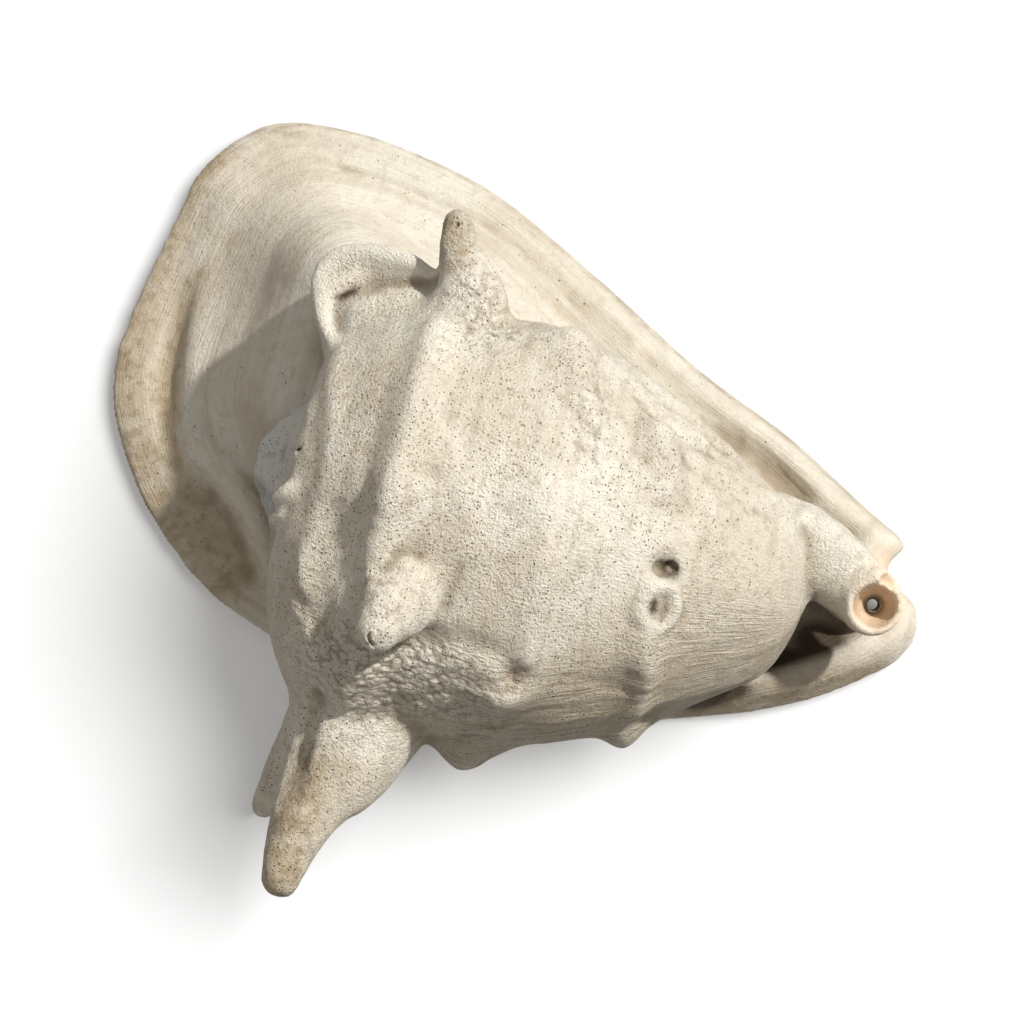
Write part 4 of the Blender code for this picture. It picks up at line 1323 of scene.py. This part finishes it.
@dataclass(frozen=True)
class BleachedShell:
    """Chalky, sun-bleached shell with stains, growth lines and thousands of tiny borings."""

    name: str = "bleached_shell"
    cream: tuple = (0.79, 0.715, 0.59, 1)
    bone: tuple = (0.91, 0.865, 0.76, 1)
    tan: tuple = (0.46, 0.36, 0.23, 1)
    umber: tuple = (0.235, 0.165, 0.095, 1)
    dun: tuple = (0.58, 0.545, 0.47, 1)
    # The spire's grey, lighter than its own tone: partly painted light
    spire_grey_and_painted_light: tuple = (0.88, 0.90, 0.90, 1)
    peach: tuple = (0.82, 0.60, 0.40, 1)
    pit: tuple = (0.11, 0.078, 0.05, 1)
    shadow: tuple = (0.055, 0.034, 0.017, 1)
    # Roughness of the weathered skin and of the glaze
    chalky: float = 0.74
    glossy: float = 0.34
    specular: float = 0.3
    # Metres that a bump of 1 stands out, and scattered pits in a metre
    relief_depth: float = 0.0014
    pits: float = 980.0

    def build(self) -> bpy.types.Material:
        """The material: stains and lines, and painted shade and highlights, in the colour, and pits, wrinkles
        and grain in the bump.

        Returns:
            The material.
        """
        material = bpy.data.materials.new(self.name)
        material.use_nodes = True
        w = Wire(material)
        shader = w.nodes["Principled BSDF"]
        where = w.node("ShaderNodeTexCoord").outputs["Object"]
        body, shield, spire = w.channels("mask_a")
        belly, inside, white_and_highlight = w.channels("mask_b")
        crease_shade_and_highlight, sunk, edge = w.channels("mask_c")
        stains_and_shade, crowded, canal = w.channels("mask_d")
        low, wavy, beads = w.channels("mask_e")
        painted_hollow_shade, dust_and_shade, _ = w.channels("mask_f")
        growth, rings = w.vector("growth"), w.vector("rings")
        glazed = w.math("MAXIMUM", belly, inside)

        # Patterns: through space, along the growth, round the rim, between the beads
        broad = w.noise(where, 20, 4, 0.6)
        patches = w.noise(where, 55, 6, 0.65)
        chips = w.noise(where, 70, 5, 0.7)
        dust = w.noise(where, 90, 5, 0.7)
        fine = w.noise(where, 260, 4, 0.65)
        grit = w.noise(where, 1100, 3, 0.7)
        lines = w.streaks(growth, (0.07, 0.95, 0.95), 4, 0.7)
        cords = w.streaks(growth, (0.3, 0.02, 0.02), 3, 0.6)
        bands = w.streaks(rings, (0.6, 0.06, 0.06), 6, 0.72)
        broad_bands = w.streaks(rings, (0.11, 0.012, 0.012), 3, 0.6)
        beaded = w.stretched(growth, (0.42, 0.62, 0.62))
        cells = w.node("ShaderNodeTexVoronoi", {"Vector": beaded, "Scale": 1.0})
        whole = w.math("SUBTRACT", 1.0, w.math("MAXIMUM", glazed, w.times(white_and_highlight, 0.9)))
        pit = w.times(self.borings(w, where, crowded, body), whole)
        glaze = w.blend(w.ramp(broad, 0.35, 0.7), self.peach, self.bone)
        streaky = w.total(w.times(low, 0.55), w.times(wavy, 0.5), 0.06)

        # The colour from the ground up: what is laid on, and the masks whose product is its share
        layers = (
            (self.bone, w.ramp(broad, 0.40, 0.62)),
            (self.tan, w.ramp(fine, 0.48, 0.7), 0.42),
            # Tan on the lower side of the whorl and on the wavy patch: partly the shell's own tone, partly
            # painted shade
            (self.tan, w.total(low, w.times(wavy, 0.7)), 0.4),
            (self.dun, shield, 0.42),
            (self.tan, w.ramp(patches, 0.54, 0.76), 0.45),
            (self.umber, w.ramp(grit, 0.56, 0.74), w.total(w.times(body, 0.5), 0.2)),
            (self.umber, w.ramp(lines, 0.5, 0.66), streaky, body),
            (self.tan, w.ramp(cords, 0.5, 0.7), body, 0.28),
            (self.tan, w.ramp(bands, 0.48, 0.7), shield, 0.3),
            (self.tan, w.ramp(broad_bands, 0.46, 0.62), shield, 0.25),
            (self.umber, edge, w.ramp(chips, 0.42, 0.62), 0.75),
            # Stains, with painted shade in the canal's throat and in the scar above the worm tube
            (self.umber, w.ramp(fine, 0.38, 0.62), stains_and_shade, 0.6),
            # The spire's grey, partly painted light
            (self.spire_grey_and_painted_light, spire, 0.5),
            # Bone white: the white worm tube and splinters, and a painted highlight on the frill's roll
            (self.bone, white_and_highlight, 0.8),
            # Painted shade: umber in broad hollows and in narrow creases; and a painted highlight, bone, on
            # the ridges
            (self.umber, w.ramp(sunk, 0.52, 0.8), 0.38),
            (self.umber, w.ramp(crease_shade_and_highlight, 0.55, 0.85), 0.5),
            (self.bone, w.ramp(crease_shade_and_highlight, 0.46, 0.2), 0.4),
            (self.spire_grey_and_painted_light, spire, 0.55),
            # Brown dust, with painted shade on the shield's left band, the corner below the spire and the lip
            (self.tan, dust_and_shade, w.ramp(dust, 0.3, 0.7, 0.45, 0.95), 0.9),
            (self.umber, dust_and_shade, w.ramp(fine, 0.45, 0.7), 0.4),
            (glaze, w.math("MAXIMUM", w.times(belly, 0.8), w.times(inside, 0.9))),
            (self.peach, canal, 0.85),
            # Painted shade, near black, in the hollows
            (self.shadow, painted_hollow_shade, 0.92),
            (self.bone, beads, 0.45),
            # Painted shade in the gaps between the beads
            (self.umber, w.ramp(cells.outputs["Distance"], 0.45, 0.8), beads, 0.65),
            (self.pit, pit, 0.86),
        )
        colour = self.cream
        for top, *shares in layers:
            colour = w.blend(w.times(*shares), colour, top)

        # Relief too fine for the mesh
        grain = w.total(w.times(fine, 0.6), w.times(grit, w.total(w.times(body, 0.9), 0.3)))
        wrinkle = w.streaks(growth, (0.12, 1.1, 1.1), 4, 0.65)
        wrinkle = w.times(wrinkle, body, w.total(w.times(low, 1.1), w.times(wavy, 1.0), 0.3))
        ring_wave = w.times(w.streaks(rings, (1.2, 0.12, 0.12), 5, 0.7), shield, 0.55)
        height = w.total(grain, wrinkle, ring_wave, w.times(pit, -1.4))
        height = w.math("SUBTRACT", height, w.times(cells.outputs["Distance"], beads, 2.0))
        dull = w.math("SUBTRACT", 1.0, w.times(w.math("MAXIMUM", glazed, canal), 0.85))
        inputs = {"Height": height, "Strength": w.times(dull, 0.85), "Distance": self.relief_depth}
        w.links.new(w.node("ShaderNodeBump", inputs).outputs[0], shader.inputs["Normal"])
        w.links.new(colour, shader.inputs["Base Color"])
        w.links.new(w.ramp(glazed, 0.0, 1.0, self.chalky, self.glossy), shader.inputs["Roughness"])
        shader.inputs["Metallic"].default_value = 0
        shader.inputs["Specular IOR Level"].default_value = self.specular
        return material

    def borings(
        self, w: Wire, where: bpy.types.NodeSocket, crowded: bpy.types.NodeSocket, body: bpy.types.NodeSocket,
    ) -> bpy.types.NodeSocket:
        """Pits: inside a ball round some of the scattered seeds of space, 1, and 0 elsewhere.

        Args:
            w: the material's nodes.
            where: place in metres.
            crowded: mask of where pits crowd.
            body: mask of the whorl, as against the shield.

        Returns:
            The mask of the pits.
        """
        cells = w.node("ShaderNodeTexVoronoi", {"Vector": where, "Scale": self.pits, "Randomness": 1.0})
        chance = w.node("ShaderNodeSeparateColor", {0: cells.outputs["Color"]}).outputs
        crowd = w.ramp(w.noise(where, 34, 2, 0.5), 0.36, 0.62, 0.2, 0.75)
        crowd = w.total(w.times(crowd, w.total(w.times(body, 0.95), 0.05)), w.times(crowded, 0.35))
        along = w.node("ShaderNodeSeparateXYZ", {0: w.vector("growth")}).outputs[0]
        crowd = w.times(crowd, w.ramp(along, 125.0, 155.0, 1.0, 0.12))
        there = w.math("LESS_THAN", chance[0], crowd)
        width = w.math("MULTIPLY_ADD", w.times(chance[1], chance[1]), 0.17, 0.19)
        depth = w.math("SUBTRACT", width, cells.outputs["Distance"])
        return w.times(w.ramp(depth, 0.0, 0.07), there)


# Pieces

@dataclass
class ConchShell:
    """The whole shell as one piece: its forms fused, hollowed, wrinkled and thinned."""

    voxel: float = 1.15
    triangles: int = 192000
    # Rows and columns of the whorl's and the plate's surfaces
    whorl_grid: tuple = (240, 300)
    plate_grid: tuple = (60, 420)
    # Passes that soften the joins between the forms, and those round what is added later
    joins: int = 14
    seams: int = 2
    # How much more readily hidden surfaces are thinned, and how firmly the seen ones are kept
    sparing: float = 0.85
    firmness: float = 0.9
    levels: int = 10
    # Metres of room left in the solid's box
    room: float = 0.0001
    whorl: Whorl = field(default_factory=Whorl)
    plate: Plate = field(default_factory=Plate)
    horns: Horns = field(default_factory=Horns)
    frill: Frill = field(default_factory=Frill)
    canal: Canal = field(default_factory=Canal)
    folds: GrownFolds = field(default_factory=GrownFolds)
    growths: Growths = field(default_factory=Growths)

    def forms(self) -> list[bpy.types.Object]:
        """The overlapping closed forms of the outside.

        Returns:
            The whorl, the plate, the horns, the frill and the canal.
        """
        surfaces = {
            "whorl": self.whorl.surface(*self.whorl_grid), "plate": self.plate.surface(*self.plate_grid),
        }
        made = [closed_grid(name, surface) for name, surface in surfaces.items()]
        return made + self.horns.build() + self.frill.build() + self.canal.build()

    def build(self) -> bpy.types.Object:
        """Fuses the forms, cuts the chamber and the canal, adds the teeth and the fine relief.

        Returns:
            The finished piece.
        """
        shell = joined("shell", self.forms())
        fused(shell, self.voxel, self.joins)
        self.folds.apply(shell.data, self.folds.folds)
        shell = joined("shell", [shell] + self.growths.broken())
        fused(shell, self.voxel, self.seams)
        self.folds.apply(shell.data, self.folds.lesser)
        chamber = Chamber(self.whorl)
        carved(shell, [chamber.cutter()] + self.canal.cutters())
        shell = joined("shell", [shell] + chamber.mouth_teeth())
        fused(shell, self.voxel, self.seams)
        detail = SkinDetail(self.whorl, self.plate)
        detail.apply(shell.data)
        shell = joined("shell", [shell, self.growths.worm()])
        fused(shell, self.voxel, 0)
        carved(shell, self.growths.cutters())
        self.thin(shell)
        detail.paint(shell.data)
        self.settle(shell.data)
        shell.data.shade_smooth()
        return shell

    def thin(self, shell: bpy.types.Object) -> None:
        """Keeps the wanted number of triangles, with fewer of them inside and below.

        Args:
            shell: the piece, still in millimetres.
        """
        points = per_vertex(shell.data, "co")
        _, _, outside = self.whorl.around(points)
        hidden = np.maximum(step_between(-outside, 4, 8), step_between(-points[:, 2], -4, -2))
        group = shell.vertex_groups.new(name="seen")
        steps = np.round((1 - self.sparing * hidden) * self.levels).astype(int)
        for level in range(1, self.levels + 1):
            weight = self.firmness * level / self.levels
            group.add(np.nonzero(steps == level)[0].tolist(), weight, "REPLACE")
        faces = sum(len(p.vertices) - 2 for p in shell.data.polygons)
        less = shell.modifiers.new("thin", "DECIMATE")
        less.ratio = min(1.0, self.triangles / faces)
        less.vertex_group = "seen"
        less.invert_vertex_group = True
        less.use_collapse_triangulate = True
        baked(shell)
        shell.vertex_groups.clear()

    def settle(self, data: bpy.types.Mesh) -> None:
        """Turns millimetres from the spire's tip into metres in the row frame, inside the solid's box.

        Args:
            data: the piece's mesh.
        """
        points = (per_vertex(data, "co") - ORIGIN) * MM
        low, high = (np.array(v) for v in CAD_BOX)
        middle = (low + high) / 2
        room = (high - low) / 2 - self.room
        span = np.abs(points - middle).max(axis=0)
        log.info("skin reaches %s of the box's half size %s", np.round(span, 4), np.round(room, 4))
        points = middle + (points - middle) * np.minimum(1, room / span)
        place_points(data, points)


# Studio

class Side(Enum):
    """Where a light comes from."""

    KEY = (0.499, 0.386, 0.776)
    BROAD = (0.62, 0.20, 1.0)


@dataclass
class Studio:
    """A pale floor, a key light from the upper right, a soft room and the photograph's camera."""

    azimuth: float = 13.5
    elevation: float = 74.0
    distance: float = 1.15
    scale: float = 0.00032
    reference_pixel: tuple = (283, 465)
    reference_point: tuple = (0, 0, 66)
    sensor: float = 36.0
    # Strength and width in degrees of the two lights
    key: tuple = (3.9, 3.0)
    broad: tuple = (3.1, 40.0)
    light: tuple = (1.0, 0.98, 0.945)
    air: tuple = (1, 0.97, 0.92, 1)
    sky: float = 0.39
    ground: float = 0.14
    horizon: float = 0.15
    floor_size: float = 6.0
    floor_colour: tuple = (0.83, 0.85, 0.88, 1)
    floor_glow: float = 0.12

    def floor(self) -> bpy.types.Object:
        """A wide pale sheet under the shell, which glows a little so that its shadows stay light.

        Returns:
            The floor.
        """
        data = bpy.data.meshes.new("floor")
        corners = [(-1, -1, 0), (1, -1, 0), (1, 1, 0), (-1, 1, 0)]
        data.from_pydata((self.floor_size * np.array(corners)).tolist(), [], [(0, 1, 2, 3)])
        made = linked("floor", data)
        material = bpy.data.materials.new("pale_floor")
        material.use_nodes = True
        shader = material.node_tree.nodes["Principled BSDF"]
        for name, value in {
            "Base Color": self.floor_colour, "Roughness": 0.9, "Specular IOR Level": 0.0,
            "Emission Color": (1, 1, 1, 1), "Emission Strength": self.floor_glow,
        }.items():
            shader.inputs[name].default_value = value
        data.materials.append(material)
        made.visible_diffuse = False
        return made

    def room(self) -> None:
        """A soft room: the world's light, which rises smoothly from below the floor's level to above it."""
        world = bpy.data.worlds.new("soft_room")
        world.use_nodes = True
        nodes, links = world.node_tree.nodes, world.node_tree.links
        direction = nodes.new("ShaderNodeTexCoord")
        split = nodes.new("ShaderNodeSeparateXYZ")
        rise = nodes.new("ShaderNodeMapRange")
        links.new(direction.outputs["Generated"], split.inputs[0])
        links.new(split.outputs["Z"], rise.inputs["Value"])
        limits = {
            "From Min": -self.horizon, "From Max": self.horizon, "To Min": self.ground, "To Max": self.sky,
        }
        for name, value in limits.items():
            rise.inputs[name].default_value = value
        background = nodes["Background"]
        background.inputs["Color"].default_value = self.air
        links.new(rise.outputs[0], background.inputs["Strength"])
        bpy.context.scene.world = world

    def lamp(self, name: str, side: Side, energy: float, width: float) -> bpy.types.Object:
        """A far lamp whose light comes evenly from one side.

        Args:
            name: the lamp's name.
            side: where the light comes from.
            energy: its strength.
            width: how wide it looks, in degrees, which softens its shadows.

        Returns:
            The lamp.
        """
        sun = bpy.data.lights.new(name, "SUN")
        sun.energy = energy
        sun.angle = math.radians(width)
        sun.color = self.light
        made = linked(name, sun)
        made.rotation_mode = "QUATERNION"
        made.rotation_quaternion = Vector(side.value).to_track_quat("Z", "Y")
        return made

    def build(self, shell: bpy.types.Object) -> None:
        """Makes the floor, the lights and the camera; each lamp lights the shell or the floor alone.

        Args:
            shell: what the key light falls on.
        """
        floor = self.floor()
        self.room()
        pairs = [
            (shell, self.lamp("key", Side.KEY, *self.key)),
            (floor, self.lamp("broad", Side.BROAD, *self.broad)),
        ]
        for thing, lamp in pairs:
            lit = bpy.data.collections.new("lit_by_" + lamp.name)
            lit.objects.link(thing)
            lamp.light_linking.receiver_collection = lit
        self.camera()
        bpy.context.scene.view_settings.view_transform = "Standard"

    def camera(self) -> None:
        """A camera that looks at the point seen in the middle of the photograph."""
        a, e = math.radians(self.azimuth), math.radians(self.elevation)
        back = Vector((math.sin(a) * math.cos(e), -math.cos(a) * math.cos(e), math.sin(e)))
        right = Vector((math.cos(a), math.sin(a), 0))
        up = Vector((-math.sin(a) * math.sin(e), math.cos(a) * math.sin(e), math.cos(e)))
        start = Vector((np.array(self.reference_point) - ORIGIN) * MM)
        px, py = self.reference_pixel
        target = start + right * ((IMAGE / 2 - px) * self.scale) - up * ((IMAGE / 2 - py) * self.scale)
        data = bpy.data.cameras.new("camera")
        data.sensor_width = self.sensor
        data.lens = self.sensor * self.distance / (IMAGE * self.scale)
        data.clip_start = 0.05
        data.clip_end = 50
        made = linked("camera", data)
        made.location = target + back * self.distance
        made.rotation_mode = "QUATERNION"
        made.rotation_quaternion = back.to_track_quat("Z", "Y")
        bpy.context.scene.camera = made


def main() -> None:
    """Builds the shell and the studio."""
    finish = BleachedShell().build()
    shell = ConchShell().build()
    shell.data.materials.clear()
    shell.data.materials.append(finish)
    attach(shell, "root")
    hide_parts(NODE)
    log.info("%s: %d triangles", shell.name, sum(len(p.vertices) - 2 for p in shell.data.polygons))
    Studio().build(shell)


if __name__ == "__main__":
    main()
